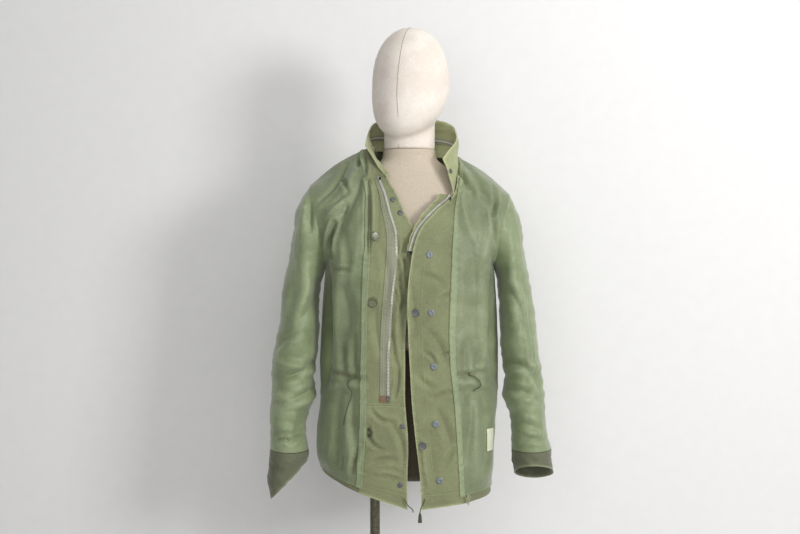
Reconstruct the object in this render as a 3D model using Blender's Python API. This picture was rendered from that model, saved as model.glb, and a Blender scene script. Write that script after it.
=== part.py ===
"""A field jacket, worn inside out and open on a dress form with a stand.

Each sub-part is one closed solid with its own name and material. Cloth pieces are thin walls
through rows of named section points. The origin is on the floor under the form; +Y is the back.
"""
import math
from collections import namedtuple

import bmesh
import bpy
import numpy as np
from mathutils import Vector

GAP = 0.0003                # between neighbouring pieces
LINING = 0.0010             # wall of the lining, facings and hem bands
SHELL = 0.0012              # wall of the outer cloth, now innermost
SLEEVE = 0.0016             # sleeve lining and sleeve cloth together
COLLAR = 0.0024             # two layers of cloth with the rolled hood between them
TAPE = 0.0010               # woven zip tape
CHAIN = 0.0020              # zip chain standing on its tape
SEAM_EASE = 0.0006          # each panel's edge drawn back from its seam
SHOULDER_RISE = 0.010       # crown of the shoulder line above a straight run
CROWN_ANGLE = 30            # armhole rows nearer the shoulder than this are crowned
SHOULDER_NORMAL = (0.45, 0.0, 0.893)        # shared along the shoulder seams, x outwards
CLOTH_CREASE, BLOCK_CREASE, TURNED_CREASE = 50, 30, 40      # shaded sharp above, degrees
FIRST_ARMHOLE_ROW = 7       # rows below this one are rings round the body

# Rows of the fronts, hem to shoulder. Below the armhole `side` is the side seam; from the
# underarm up it is the armhole at angle `phi`, 180 at the underarm and 0 at the shoulder.
FrontRow = namedtuple("FrontRow", "edge_x edge_y edge_z seam_x seam_y flank_x flank_y "
                                  "side_x side_z phi")
FRONT_RIGHT = [FrontRow(*row) for row in (
    (0.0250, -0.135, 0.752, 0.1110, -0.125, 0.160, -0.085, 0.181, 0.772, 180),
    (0.0215, -0.135, 0.820, 0.1080, -0.127, 0.163, -0.090, 0.185, 0.830, 180),
    (0.0120, -0.135, 0.900, 0.1036, -0.128, 0.165, -0.090, 0.187, 0.900, 180),
    (0.0040, -0.134, 0.980, 0.0985, -0.127, 0.162, -0.088, 0.196, 0.980, 180),
    (0.0000, -0.134, 1.050, 0.0910, -0.126, 0.158, -0.088, 0.198, 1.050, 180),
    (-0.0035, -0.135, 1.120, 0.0880, -0.128, 0.162, -0.090, 0.197, 1.120, 180),
    (-0.0055, -0.138, 1.200, 0.0905, -0.131, 0.168, -0.092, 0.194, 1.200, 180),
    (0.0000, -0.140, 1.262, 0.0928, -0.133, 0.170, -0.095, 0.190, 1.262, 180),
    (0.0060, -0.138, 1.300, 0.0940, -0.131, 0.163, -0.108, 0, 0, 140),
    (0.0210, -0.131, 1.345, 0.0962, -0.125, 0.157, -0.110, 0, 0, 105),
    (0.0545, -0.118, 1.385, 0.0980, -0.113, 0.155, -0.102, 0, 0, 75),
    (0.0950, -0.092, 1.424, 0.1035, -0.091, 0.155, -0.086, 0, 0, 50),
    (0.1050, -0.055, 1.470, 0.1120, -0.055, 0.165, -0.050, 0, 0, 25),
    (0.0980, 0.000, 1.517, 0.1080, 0.000, 0.165, 0.000, 0, 0, 0),
)]
FRONT_LEFT = [FrontRow(*row) for row in (
    (-0.0055, -0.133, 0.752, -0.1085, -0.125, -0.158, -0.085, -0.196, 0.815, 180),
    (-0.0053, -0.133, 0.820, -0.1045, -0.127, -0.165, -0.090, -0.206, 0.846, 180),
    (-0.0040, -0.133, 0.900, -0.0995, -0.128, -0.168, -0.090, -0.207, 0.900, 180),
    (-0.0100, -0.132, 0.980, -0.0973, -0.127, -0.163, -0.088, -0.198, 0.980, 180),
    (-0.0100, -0.128, 1.050, -0.0970, -0.126, -0.158, -0.088, -0.199, 1.050, 180),
    (-0.0095, -0.124, 1.120, -0.0955, -0.126, -0.152, -0.088, -0.197, 1.120, 180),
    (-0.0010, -0.121, 1.200, -0.0940, -0.128, -0.160, -0.092, -0.193, 1.200, 180),
    (0.0080, -0.120, 1.262, -0.0915, -0.130, -0.166, -0.095, -0.188, 1.262, 180),
    (0.0130, -0.120, 1.300, -0.0905, -0.130, -0.160, -0.108, 0, 0, 140),
    (0.0090, -0.118, 1.345, -0.0898, -0.125, -0.155, -0.110, 0, 0, 105),
    (-0.0115, -0.110, 1.385, -0.0900, -0.115, -0.152, -0.102, 0, 0, 75),
    (-0.0285, -0.099, 1.424, -0.0895, -0.102, -0.150, -0.088, 0, 0, 50),
    (-0.0500, -0.088, 1.460, -0.0950, -0.075, -0.150, -0.055, 0, 0, 25),
    (-0.0920, 0.000, 1.533, -0.1040, 0.000, -0.160, 0.000, 0, 0, 0),
)]
BackRow = namedtuple("BackRow", "centre_y centre_z neck_x neck_y neck_z")
BACK = [BackRow(*row) for row in (
    (0.118, 0.765, 0.120, 0.105, 0.770),
    (0.118, 0.820, 0.120, 0.105, 0.822),
    (0.116, 0.900, 0.120, 0.104, 0.900),
    (0.110, 0.980, 0.118, 0.099, 0.980),
    (0.106, 1.050, 0.115, 0.096, 1.050),
    (0.107, 1.120, 0.115, 0.097, 1.120),
    (0.112, 1.200, 0.118, 0.103, 1.200),
    (0.117, 1.262, 0.118, 0.110, 1.262),
    (0.119, 1.300, 0.119, 0.112, 1.298),
    (0.117, 1.350, 0.116, 0.107, 1.343),
    (0.111, 1.400, 0.112, 0.096, 1.393),
    (0.100, 1.445, 0.105, 0.078, 1.435),
    (0.086, 1.492, 0.100, 0.045, 1.478),
    (0.075, 1.535, 0.000, 0.000, 0.000),
)]
Armhole = namedtuple("Armhole", "shoulder_x shoulder_z underarm_x underarm_z depth inset")
ARMHOLE = {"right": Armhole(0.224, 1.430, 0.190, 1.262, 0.085, 0.008),
           "left": Armhole(-0.222, 1.450, -0.188, 1.262, 0.085, -0.006)}

# Rings of the sleeves below the armhole, ended by the cuff seam.
SleeveRow = namedtuple("SleeveRow", "outer_x outer_z inner_x inner_z centre_y depth")
SLEEVE_RIGHT = [SleeveRow(*row) for row in (
    (0.240, 1.385, 0.1965, 1.238, 0.000, 0.087),
    (0.250, 1.335, 0.2000, 1.195, 0.000, 0.084),
    (0.259, 1.285, 0.2030, 1.150, -0.002, 0.080),
    (0.270, 1.220, 0.2035, 1.110, -0.004, 0.078),
    (0.279, 1.155, 0.2055, 1.075, -0.006, 0.076),
    (0.286, 1.095, 0.2090, 1.045, -0.008, 0.075),
    (0.292, 1.040, 0.2125, 1.015, -0.012, 0.074),
    (0.2975, 0.995, 0.2065, 0.980, -0.016, 0.072),
    (0.3005, 0.950, 0.2225, 0.943, -0.020, 0.068),
    (0.303, 0.905, 0.2258, 0.902, -0.024, 0.066),
    (0.3135, 0.868, 0.2262, 0.865, -0.027, 0.064),
)]
SLEEVE_LEFT = [SleeveRow(*row) for row in (
    (-0.250, 1.402, -0.1950, 1.238, 0.000, 0.087),
    (-0.260, 1.345, -0.1990, 1.195, 0.000, 0.084),
    (-0.269, 1.285, -0.2020, 1.150, -0.002, 0.080),
    (-0.2825, 1.215, -0.2030, 1.110, -0.004, 0.078),
    (-0.287, 1.150, -0.2050, 1.075, -0.006, 0.076),
    (-0.298, 1.100, -0.2105, 1.045, -0.008, 0.074),
    (-0.3065, 1.045, -0.2120, 1.010, -0.012, 0.073),
    (-0.305, 1.000, -0.2080, 0.980, -0.016, 0.070),
    (-0.3085, 0.950, -0.2250, 0.945, -0.020, 0.068),
    (-0.309, 0.903, -0.2305, 0.900, -0.024, 0.065),
    (-0.308, 0.867, -0.2240, 0.864, -0.027, 0.062),
)]
# Rings of the cuffs; `drop` lowers the back of the ring and raises its front.
CuffRow = namedtuple("CuffRow", "outer_x outer_z inner_x inner_z centre_y depth drop")
CUFF_RIGHT = [CuffRow(*row) for row in (
    (0.3137, 0.8665, 0.2263, 0.8635, -0.027, 0.064, 0.000),
    (0.3140, 0.8400, 0.2266, 0.8420, -0.028, 0.063, 0.004),
    (0.3200, 0.8080, 0.2310, 0.8120, -0.029, 0.063, 0.014),
)]
CUFF_LEFT = [CuffRow(*row) for row in (
    (-0.3082, 0.8655, -0.2240, 0.8625, -0.027, 0.062, 0.000),
    (-0.3118, 0.8250, -0.2215, 0.8530, -0.028, 0.060, 0.000),
    (-0.3140, 0.7900, -0.2250, 0.8450, -0.029, 0.052, 0.000),
    (-0.3050, 0.7560, -0.2320, 0.8330, -0.030, 0.040, 0.000),
)]
SLEEVE_ANGLES = (0, 12.5, 25, 50, 75, 105, 140, 160, 180)
SHARED_ANGLE = 75           # up to here from the shoulder, body and sleeve share normals
SLEEVE_FRONT_SEAM = 50
SLEEVE_BACK_SEAM = -105

# Top edge of the collar, left corner round the back to the right corner.
CollarTop = namedtuple("CollarTop", "x y z")
COLLAR_TOP = [CollarTop(*row) for row in (
    (-0.098, -0.040, 1.535), (-0.0935, -0.010, 1.561), (-0.083, 0.028, 1.590),
    (-0.056, 0.064, 1.604), (0.000, 0.084, 1.607), (0.064, 0.060, 1.603),
    (0.098, 0.023, 1.586), (0.1065, -0.003, 1.568), (0.100, -0.036, 1.543),
    (0.086, -0.060, 1.522), (0.072, -0.078, 1.503),
)]

# Lines across and up the panels, in rows and columns of the tables.
LINING_HEM_LINE = 0.25
BAND_TOP_LINE = 0.45
HEM_LINES = (0, LINING_HEM_LINE, BAND_TOP_LINE)
ROW_LINES = (1, 2, 3, 3.2, 4, 5, 6, 7, 7.5, 8, 9, 10, 11, 12, 12.5, 13)
ZIP_FOOT_LINE = 3                           # the left facing is pieced at this row
CHAIN_FOOT_LINE = 3.2
ZIP_TOP_LINE = 12
CHAIN_LINES = (0.38, 0.43)                  # the left chain stands between these lines
TAPE_LINES = (0.38, 0.60)
FACING_LINES = {"left": (0, 0.19, 0.38, 0.43, 0.60, 1), "right": (0, 0.33, 0.66, 1)}
FLANK_LINES = (1, 1.5, 2, 2.5, 3)
SHOULDER_LINES = {0: 3, 0.25: 2.5, 0.5: 2, 0.75: 1.5, 0.92: 1, 1: 0}    # back line: front line
BACK_LINES = (0, 0.25, 0.5, 0.75, 0.92, 1, 1.5, 2, 2.5, 3, 3.08, 3.25, 3.5, 3.75, 4)

# Where the collar is sewn on: rows of each front's edge, and columns of the back's top.
LEFT_NECK_ROWS = (12, 12.5, 13)
BACK_NECK_LINES = (1.5, 2, 2.5)
RIGHT_NECK_ROWS = (13, 12.5, 12)
RIGHT_CORNER_ROW = 11

COLLAR_SHARES = (0.0, 0.22, 0.29, 0.35, 0.42, 0.70, 1.0)   # lines up the collar to its free edge
HOOD_TAPE_SHARES = (0.22, 0.29, 0.35, 0.42)
HOOD_CHAIN_SHARES = (0.29, 0.35)
HOOD_ZIP_STATIONS = (1, 8)                  # stations of the collar that the hood zip spans
HOOD_CHAIN_START = 0.25                     # stations from the tape's end to the chain's

# How far the right zip and fly reach past the front edge, by row.
RIGHT_LAYER_LINES = (8, 9, 10, 11)
RIGHT_TAPE_REACH = 0.009
RIGHT_CHAIN_REACH = (0.0055, 0.0095)
RIGHT_FLY_REACH = {8: 0.012, 9: 0.014, 10: 0.022, 11: 0.030}
RIGHT_TAPE_DEPTH = 0.0031                   # behind the front's face
RIGHT_FLY_DEPTH = 0.0046

# Fasteners as (line across, line up) on their front.
BUTTON_RADIUS = 0.0105
EDGE_BUTTON_RADIUS = 0.0080
SNAP_RADIUS = 0.0072
SMALL_SNAP_RADIUS = 0.0055
LEFT_BUTTONS = ((0.867, 2.19), (0.825, 5.90), (0.828, 8.85))
RIGHT_BUTTONS = ((0.152, 1.85), (0.175, 5.62))
RIGHT_SNAPS = ((0.470, 0.87), (0.491, 2.43), (0.546, 4.07), (0.520, 5.63), (0.402, 7.91))
LEFT_SNAPS = ((0.150, 0.73), (0.100, 2.36), (0.118, 8.00), (0.125, 9.95), (0.200, 10.70))
FASTENER_LIFT = 0.0008                      # of a back above its cloth
FASTENER_SIDES = 12
COLLAR_SNAP_PLACE = (9.7, 0.55)             # station, share
BUTTON_PROFILE = ((0, 0), (1, 0), (1, 0.0020), (0.92, 0.0032), (0.80, 0.0032), (0.72, 0.0022),
                  (0, 0.0022))
SNAP_PROFILE = ((0, 0), (1, 0), (0.96, 0.0010), (0.62, 0.0021), (0.34, 0.0021), (0.26, 0.0011),
                (0, 0.0011))
LABEL_LINES = ((2.04, 2.44), (1.55, 2.0, 2.2))
LABEL_LIFT = 0.0012

# Cords: places on a panel (line across, line up, height above it) or points in metres.
CORD_RADIUS = 0.0011
LEFT_WAIST_CORD = (
    (1.30, 3.76, 0.0021), (1.33, 3.70, 0.0036), (1.40, 3.64, 0.0048), (1.45, 3.56, 0.0050),
    (1.43, 3.46, 0.0044), (1.38, 3.36, 0.0038), (1.37, 3.22, 0.0034), (1.42, 3.05, 0.0034),
    (1.47, 2.88, 0.0034), (1.50, 2.70, 0.0034), (1.52, 2.52, 0.0034), (1.53, 2.36, 0.0034))
RIGHT_WAIST_CORD = (
    (1.50, 3.88, 0.0021), (1.52, 3.80, 0.0036), (1.58, 3.72, 0.0048), (1.66, 3.64, 0.0052),
    (1.74, 3.55, 0.0052), (1.76, 3.47, 0.0048), (1.70, 3.41, 0.0044), (1.62, 3.37, 0.0038),
    (1.57, 3.30, 0.0034))
LEFT_HEM_CORD = (
    (-0.0130, -0.1360, 0.7765), (-0.0105, -0.1369, 0.7725), (-0.0075, -0.1374, 0.7680),
    (-0.0045, -0.1378, 0.7630), (-0.0010, -0.1380, 0.7590), (0.0030, -0.1378, 0.7560),
    (0.0060, -0.1374, 0.7520), (0.0070, -0.1372, 0.7475))
RIGHT_HEM_CORD = (
    (0.0310, -0.1378, 0.7760), (0.0302, -0.1384, 0.7710), (0.0280, -0.1388, 0.7655),
    (0.0250, -0.1390, 0.7605), (0.0228, -0.1388, 0.7550), (0.0218, -0.1386, 0.7500),
    (0.0214, -0.1384, 0.7465))
CORD_STEP = 0.0055
TASSEL_SIDES = 10
TASSEL_PROFILE = ((0, 0), (0.0020, 0.0), (0.0034, -0.0060), (0.0046, -0.0200), (0, -0.0205))

# The hood zip's slider and its hinged pull tab.
SLIDER_SIZE = (0.0085, 0.0060, 0.0030)      # along the zip, across it, out from it
PULL_SIZE = (0.0032, 0.0095, 0.0010)        # along the zip, hanging length, thickness
SLIDER_LIFT = 0.0022                        # its underside above the collar, clear of the tape
SLIDER_STATION = 1.0
SLIDER_AHEAD = 0.2                          # stations to the point it faces
SLIDER_SHARE = 0.32
PULL_CLEARANCE = 0.0004
ZIP_BOX_SIZE = (0.0075, 0.0100, 0.0026)
ZIP_BOX_LINE = 3.105
BLOCK_BEVEL = 0.22                          # share of a block's least size

# The dress form and its stand.
TORSO_RINGS = (             # height, half width, front, back
    (0.800, 0.105, 0.070, 0.070), (0.812, 0.140, 0.098, 0.088), (0.860, 0.150, 0.104, 0.092),
    (0.920, 0.152, 0.102, 0.094), (1.000, 0.146, 0.098, 0.088), (1.100, 0.141, 0.096, 0.083),
    (1.200, 0.148, 0.099, 0.088), (1.300, 0.158, 0.103, 0.094), (1.360, 0.170, 0.100, 0.090),
    (1.405, 0.172, 0.090, 0.078), (1.440, 0.150, 0.078, 0.070), (1.470, 0.112, 0.067, 0.062),
    (1.492, 0.080, 0.060, 0.057), (1.508, 0.062, 0.057, 0.055), (1.5262, 0.058, 0.057, 0.055))
TORSO_SIDES = 24
TORSO_POWER = 2.3           # 2 is an ellipse, more is squarer
NECK_RADIUS = 0.057
NECK_BACK = 0.055
NECK_TOP_LEVELS = (1.560, 1.600)            # inside the head
NECK_SEAM_Z = 1.5265
HEAD_CENTRE_Z = 1.675
HEAD_HALF_HEIGHT = 0.1255
HEAD_HALF_WIDTH = 0.0866
HEAD_HALF_DEPTH = 0.098
HEAD_CENTRE = (0.0035, -0.004)
HEAD_LEVELS = 14
HEAD_POWER = 2.15           # an egg a little fuller than an ellipse
HEAD_BACK_SHARE = 0.97      # of the half depth
NAPE_DRAW_IN = 0.12
LEAN_POWER = 1.5
CHIN_SHIFT = (-0.021, -0.040)   # the head is turned, its chin forward and to one side
POLE_X = -0.077
POLE_RADIUS = 0.011
POLE_SIDES = 20
BASE_RADIUS = 0.175
BASE_HEIGHT = 0.008
BASE_BEVEL = 0.003
BASE_SIDES = 48

COLOURS = {                 # linear colour, roughness, metallic
    "olive sateen": ((0.255, 0.262, 0.130), 0.75, 0.0),
    "green lining": ((0.235, 0.300, 0.165), 0.55, 0.0),
    "cuff sateen": ((0.115, 0.125, 0.062), 0.80, 0.0),
    "zip tape": ((0.270, 0.275, 0.190), 0.85, 0.0),
    "zip metal": ((0.560, 0.560, 0.520), 0.35, 1.0),
    "snap metal": ((0.150, 0.165, 0.185), 0.40, 1.0),
    "olive plastic": ((0.150, 0.155, 0.085), 0.45, 0.0),
    "label tape": ((0.640, 0.650, 0.600), 0.80, 0.0),
    "green cord": ((0.060, 0.075, 0.040), 0.85, 0.0),
    "form cloth": ((0.870, 0.840, 0.790), 0.80, 0.0),
    "stand steel": ((0.160, 0.145, 0.120), 0.45, 1.0),
}


def clear_scene():
    for obj in list(bpy.data.objects):
        bpy.data.objects.remove(obj, do_unlink=True)


def material(kind):
    found = bpy.data.materials.get(kind)
    if found:
        return found
    colour, roughness, metallic = COLOURS[kind]
    made = bpy.data.materials.new(kind)
    made.use_nodes = True
    shader = made.node_tree.nodes["Principled BSDF"]
    shader.inputs["Base Color"].default_value = (*colour, 1.0)
    shader.inputs["Roughness"].default_value = roughness
    shader.inputs["Metallic"].default_value = metallic
    return made


def add_mesh(name, points, faces, kind, smooth_angle=CLOTH_CREASE):
    mesh = bpy.data.meshes.new(name)
    mesh.from_pydata([tuple(p) for p in points], [], faces)
    mesh.update()
    mesh.shade_smooth()
    mesh.set_sharp_from_angle(angle=math.radians(smooth_angle))
    obj = bpy.data.objects.new(name, mesh)
    bpy.context.collection.objects.link(obj)
    mesh.materials.append(material(kind))
    return obj


def slope(points, k):
    """Direction of the smooth curve at point k, as a rate along its length."""
    last = len(points) - 1
    before = points[k] - points[k - 1] if k > 0 else points[1] - points[0]
    after = points[k + 1] - points[k] if k < last else points[last] - points[last - 1]
    run_in, run_out = np.linalg.norm(before), np.linalg.norm(after)
    return (before / run_in * run_out + after / run_out * run_in) / (run_in + run_out)


def smooth(points, t):
    """The smooth curve through a row of points, at place t counted in points."""
    i = min(max(int(math.floor(t)), 0), len(points) - 2)
    f = t - i
    start, end = points[i], points[i + 1]
    run = np.linalg.norm(end - start)
    leave, arrive = slope(points, i) * run, slope(points, i + 1) * run
    return ((1 + 2 * f) * (1 - f) ** 2 * start + f * (1 - f) ** 2 * leave
            + f * f * (3 - 2 * f) * end - f * f * (1 - f) * arrive)


def armhole_point(side, phi):
    """Point on the armhole seam; positive angles are at the front."""
    a = ARMHOLE[side]
    turn = math.radians(phi)
    across = 0.5 + 0.5 * math.cos(turn)
    return np.array((
        a.underarm_x + (a.shoulder_x - a.underarm_x) * across - a.inset * math.sin(turn) ** 2,
        -a.depth * math.sin(turn),
        a.underarm_z + (a.shoulder_z - a.underarm_z) * across))


def armhole_normal(side, phi):
    """Outward direction shared by the body and the sleeve where they are sewn together."""
    turn = math.radians(phi)
    outward = 0.5 * max(math.cos(turn), 0.0) * (1 if side == "right" else -1)
    n = np.array((outward, -math.sin(turn), math.cos(turn)))
    return n / np.linalg.norm(n)


def front_controls(side):
    """Section points of a front: edge, facing seam, flank, side seam, and one round the back."""
    rows = FRONT_RIGHT if side == "right" else FRONT_LEFT
    sign = 1 if side == "right" else -1
    grid = []
    for index, (row, back) in enumerate(zip(rows, BACK)):
        in_armhole = index > FIRST_ARMHOLE_ROW
        edge = np.array((row.edge_x, row.edge_y, row.edge_z))
        end = armhole_point(side, row.phi) if in_armhole else np.array((row.side_x, 0.0, row.side_z))
        points = [edge]
        for x, y in ((row.seam_x, row.seam_y), (row.flank_x, row.flank_y)):
            share = (x - edge[0]) / (end[0] - edge[0])
            rise = SHOULDER_RISE * math.sin(math.pi * share) if row.phi < CROWN_ANGLE else 0.0
            points.append(np.array((x, y, edge[2] + (end[2] - edge[2]) * share + rise)))
        points.append(end)
        beyond = 2 * end - points[-2] if in_armhole else np.array(
            (sign * back.neck_x, back.neck_y, back.neck_z))
        points.append(beyond)
        grid.append(points)
    return np.array(grid)


def back_controls():
    """Section points of the back, left side to right side, with one more round each front."""
    left, right = front_controls("left"), front_controls("right")
    grid = []
    for index, row in enumerate(BACK):
        ends = []
        for side, front, sign in (("left", left, -1), ("right", right, 1)):
            neck = np.array((sign * row.neck_x, row.neck_y, row.neck_z))
            if index == len(BACK) - 1:
                neck = front[index][0]
            if index > FIRST_ARMHOLE_ROW:
                phi = FRONT_RIGHT[index].phi
                end = armhole_point(side, -phi)
                beyond = 2 * end - neck
            else:
                end, beyond = front[index][3], front[index][2]
            ends.append((beyond, end, neck))
        centre = np.array((0.0, row.centre_y, row.centre_z))
        grid.append([*ends[0], centre, *reversed(ends[1])])
    return np.array(grid)


class Panel:
    """A smooth sheet through a grid of section points, with outward normals."""

    def __init__(self, controls, first_column=0, outward_sign=1):
        self.controls = controls
        self.first = first_column
        self.sign = outward_sign

    def point(self, u, v):
        column = [smooth(row, u + self.first) for row in self.controls]
        return smooth(np.array(column), v)

    def normal(self, u, v, step=0.02):
        top = len(self.controls) - 1
        across = self.point(u + step, v) - self.point(u - step, v)
        up = self.point(u, min(v + step, top)) - self.point(u, max(v - step, 0))
        n = np.cross(across, up) * self.sign
        return n / np.linalg.norm(n)


def panel_normals(panel, us, vs, seam_sides, on_front):
    """Normals on a grid of lines; neighbours share them where they meet round a bend."""
    grid = np.array([[panel.normal(u, v) for u in us] for v in vs])
    phis = [row.phi for row in FRONT_RIGHT]
    for i, v in enumerate(vs):
        phi = float(np.interp(v, range(len(phis)), phis))
        for j, u in enumerate(us):
            side = seam_sides.get(u)
            if side and v <= FIRST_ARMHOLE_ROW:
                grid[i, j] = (1.0 if side == "right" else -1.0, 0.0, 0.0)
            elif side and phi <= SHARED_ANGLE:
                grid[i, j] = armhole_normal(side, phi if on_front else -phi)
            elif v == vs[-1] and (on_front or not 1 < u < 3):
                sign = 1 if panel.point(u, v)[0] > 0 else -1
                grid[i, j] = np.array(SHOULDER_NORMAL) * (sign, 1, 1)
    return grid


def wall_solid(name, outer, inner, kind, closed=False):
    """A closed wall between two grids of points; closed joins the last column to the first."""
    rows, columns = outer.shape[:2]
    points = [*outer.reshape(-1, 3), *inner.reshape(-1, 3)]
    size = rows * columns
    spans = columns if closed else columns - 1
    faces = []

    def quad(a, b, c, d):
        faces.append((a, b, c))
        faces.append((a, c, d))

    for i in range(rows - 1):
        for j in range(spans):
            k = (j + 1) % columns
            a, b, c, d = i * columns + j, i * columns + k, (i + 1) * columns + k, (i + 1) * columns + j
            quad(a, b, c, d)
            faces.append((size + a, size + c, size + b))
            faces.append((size + a, size + d, size + c))
    for j in range(spans):
        k = (j + 1) % columns
        a, b = j, k
        quad(size + a, size + b, b, a)
        a, b = (rows - 1) * columns + j, (rows - 1) * columns + k
        quad(a, b, size + b, size + a)
    if not closed:
        for i in range(rows - 1):
            a, d = i * columns, (i + 1) * columns
            quad(a, d, size + d, size + a)
            b, c = a + columns - 1, d + columns - 1
            quad(size + b, size + c, c, b)
    obj = add_mesh(name, points, faces, kind)
    mesh = bmesh.new()
    mesh.from_mesh(obj.data)
    if mesh.calc_volume(signed=True) < 0:
        bmesh.ops.reverse_faces(mesh, faces=mesh.faces)
    mesh.to_mesh(obj.data)
    mesh.free()
    return obj


class Cloth:
    """One panel with its lines, from which each layer's pieces are cut."""

    def __init__(self, panel, us, vs, seam_sides, on_front):
        self.us, self.vs = list(us), list(vs)
        self.points = np.array([[panel.point(u, v) for u in us] for v in vs])
        self.normals = panel_normals(panel, us, vs, seam_sides, on_front)

    def piece(self, name, kind, u_range, v_range, out, thickness):
        """The wall between two lines each way, its outer face `out` above the panel."""
        columns = [j for j, u in enumerate(self.us) if u_range[0] <= u <= u_range[1]]
        rows = [i for i, v in enumerate(self.vs) if v_range[0] <= v <= v_range[1]]
        points = self.points[np.ix_(rows, columns)]
        normals = self.normals[np.ix_(rows, columns)]
        points = ease_edges(points)
        return wall_solid(name, points + normals * out, points + normals * (out - thickness), kind)

    def spot(self, u, v, out):
        """Point and normal at (u, v) on the panel's facets, `out` above them."""
        j = max(k for k, value in enumerate(self.us[:-1]) if value <= u)
        i = max(k for k, value in enumerate(self.vs[:-1]) if value <= v)
        s = (u - self.us[j]) / (self.us[j + 1] - self.us[j])
        t = (v - self.vs[i]) / (self.vs[i + 1] - self.vs[i])
        point, normal = (
            (1 - s) * (1 - t) * g[i, j] + s * (1 - t) * g[i, j + 1]
            + (1 - s) * t * g[i + 1, j] + s * t * g[i + 1, j + 1]
            for g in (self.points, self.normals))
        normal = normal / np.linalg.norm(normal)
        return point + normal * out, normal


def ease_edges(points):
    """Draw the four edges of a grid of points in from their seams."""
    out = points.copy()
    for near, far in ((0, 1), (-1, -2)):
        step = points[far] - points[near]
        out[near] += step / np.linalg.norm(step, axis=-1, keepdims=True) * SEAM_EASE
        step = points[:, far] - points[:, near]
        out[:, near] += step / np.linalg.norm(step, axis=-1, keepdims=True) * SEAM_EASE
    return out


def make_body():
    lines = HEM_LINES + ROW_LINES
    top = lines[-1]
    cloths = {}
    for side, sign in (("right", 1), ("left", -1)):
        panel = Panel(front_controls(side), 0, sign)
        facing = FACING_LINES[side]
        cloth = Cloth(panel, facing + FLANK_LINES[1:], lines, {3: side}, True)
        cloths[side] = cloth
        cloth.piece(f"shell_front_{side}", "olive sateen", (0, 3), (0, top), -LINING - GAP, SHELL)
        cloth.piece(f"lining_front_{side}", "green lining", (1, 3), (LINING_HEM_LINE, top), 0, LINING)
        cloth.piece(f"hem_band_{side}", "olive sateen", (0, 1), (0, BAND_TOP_LINE), 0, LINING)
    left, right = cloths["left"], cloths["right"]
    chain_line = CHAIN_LINES[0]
    right.piece("facing_right", "olive sateen", (0, 1), (BAND_TOP_LINE, top), 0, LINING)
    left.piece("facing_left_lower", "olive sateen", (0, 1), (BAND_TOP_LINE, ZIP_FOOT_LINE), 0, LINING)
    left.piece("facing_left", "olive sateen", (chain_line, 1), (ZIP_FOOT_LINE, top), 0, LINING)
    left.piece("fly_left", "olive sateen", (0, chain_line), (ZIP_FOOT_LINE, ZIP_TOP_LINE), 0, LINING)
    back = Cloth(Panel(back_controls(), 1, -1), BACK_LINES, lines, {0: "left", 4: "right"}, False)
    for back_line, front_line in SHOULDER_LINES.items():
        for side, u in (("left", back_line), ("right", round(4 - back_line, 2))):
            front = cloths[side]
            back.points[-1, back.us.index(u)] = front.points[-1, front.us.index(front_line)]
    back.piece("shell_back", "olive sateen", (0, 4), (0, top), -LINING - GAP, SHELL)
    back.piece("lining_back", "green lining", (0, 4), (LINING_HEM_LINE, top), 0, LINING)
    cloths["back"] = back
    return cloths


def sleeve_ring(row, angles):
    """Ring of a sleeve: angle 0 is its outer line, 90 its front, 180 its inner line."""
    outer = np.array((row.outer_x, row.centre_y, row.outer_z))
    inner = np.array((row.inner_x, row.centre_y, row.inner_z))
    ring = []
    for phi in angles:
        turn = math.radians(phi)
        point = (outer + inner) / 2 + (outer - inner) / 2 * math.cos(turn)
        point[1] -= row.depth * math.sin(turn)
        point[2] += getattr(row, "drop", 0.0) * math.sin(turn)
        ring.append(point)
    return ring


def sleeve_angles():
    """All the angles round a sleeve, from the back seam by the shoulder to the back seam."""
    full = [-a for a in reversed(SLEEVE_ANGLES[1:-1])] + list(SLEEVE_ANGLES)
    full = [a if a >= SLEEVE_BACK_SEAM else a + 360 for a in full]
    return sorted(set(full))


def tube_normals(points):
    """Outward normals of a closed tube of rings of points."""
    around = np.roll(points, -1, axis=1) - np.roll(points, 1, axis=1)
    along = np.gradient(points, axis=0)
    normals = np.cross(around, along)
    normals /= np.linalg.norm(normals, axis=-1, keepdims=True)
    outward = points - points.mean(axis=1, keepdims=True)
    if (normals * outward).sum() < 0:
        normals = -normals
    return normals


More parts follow.
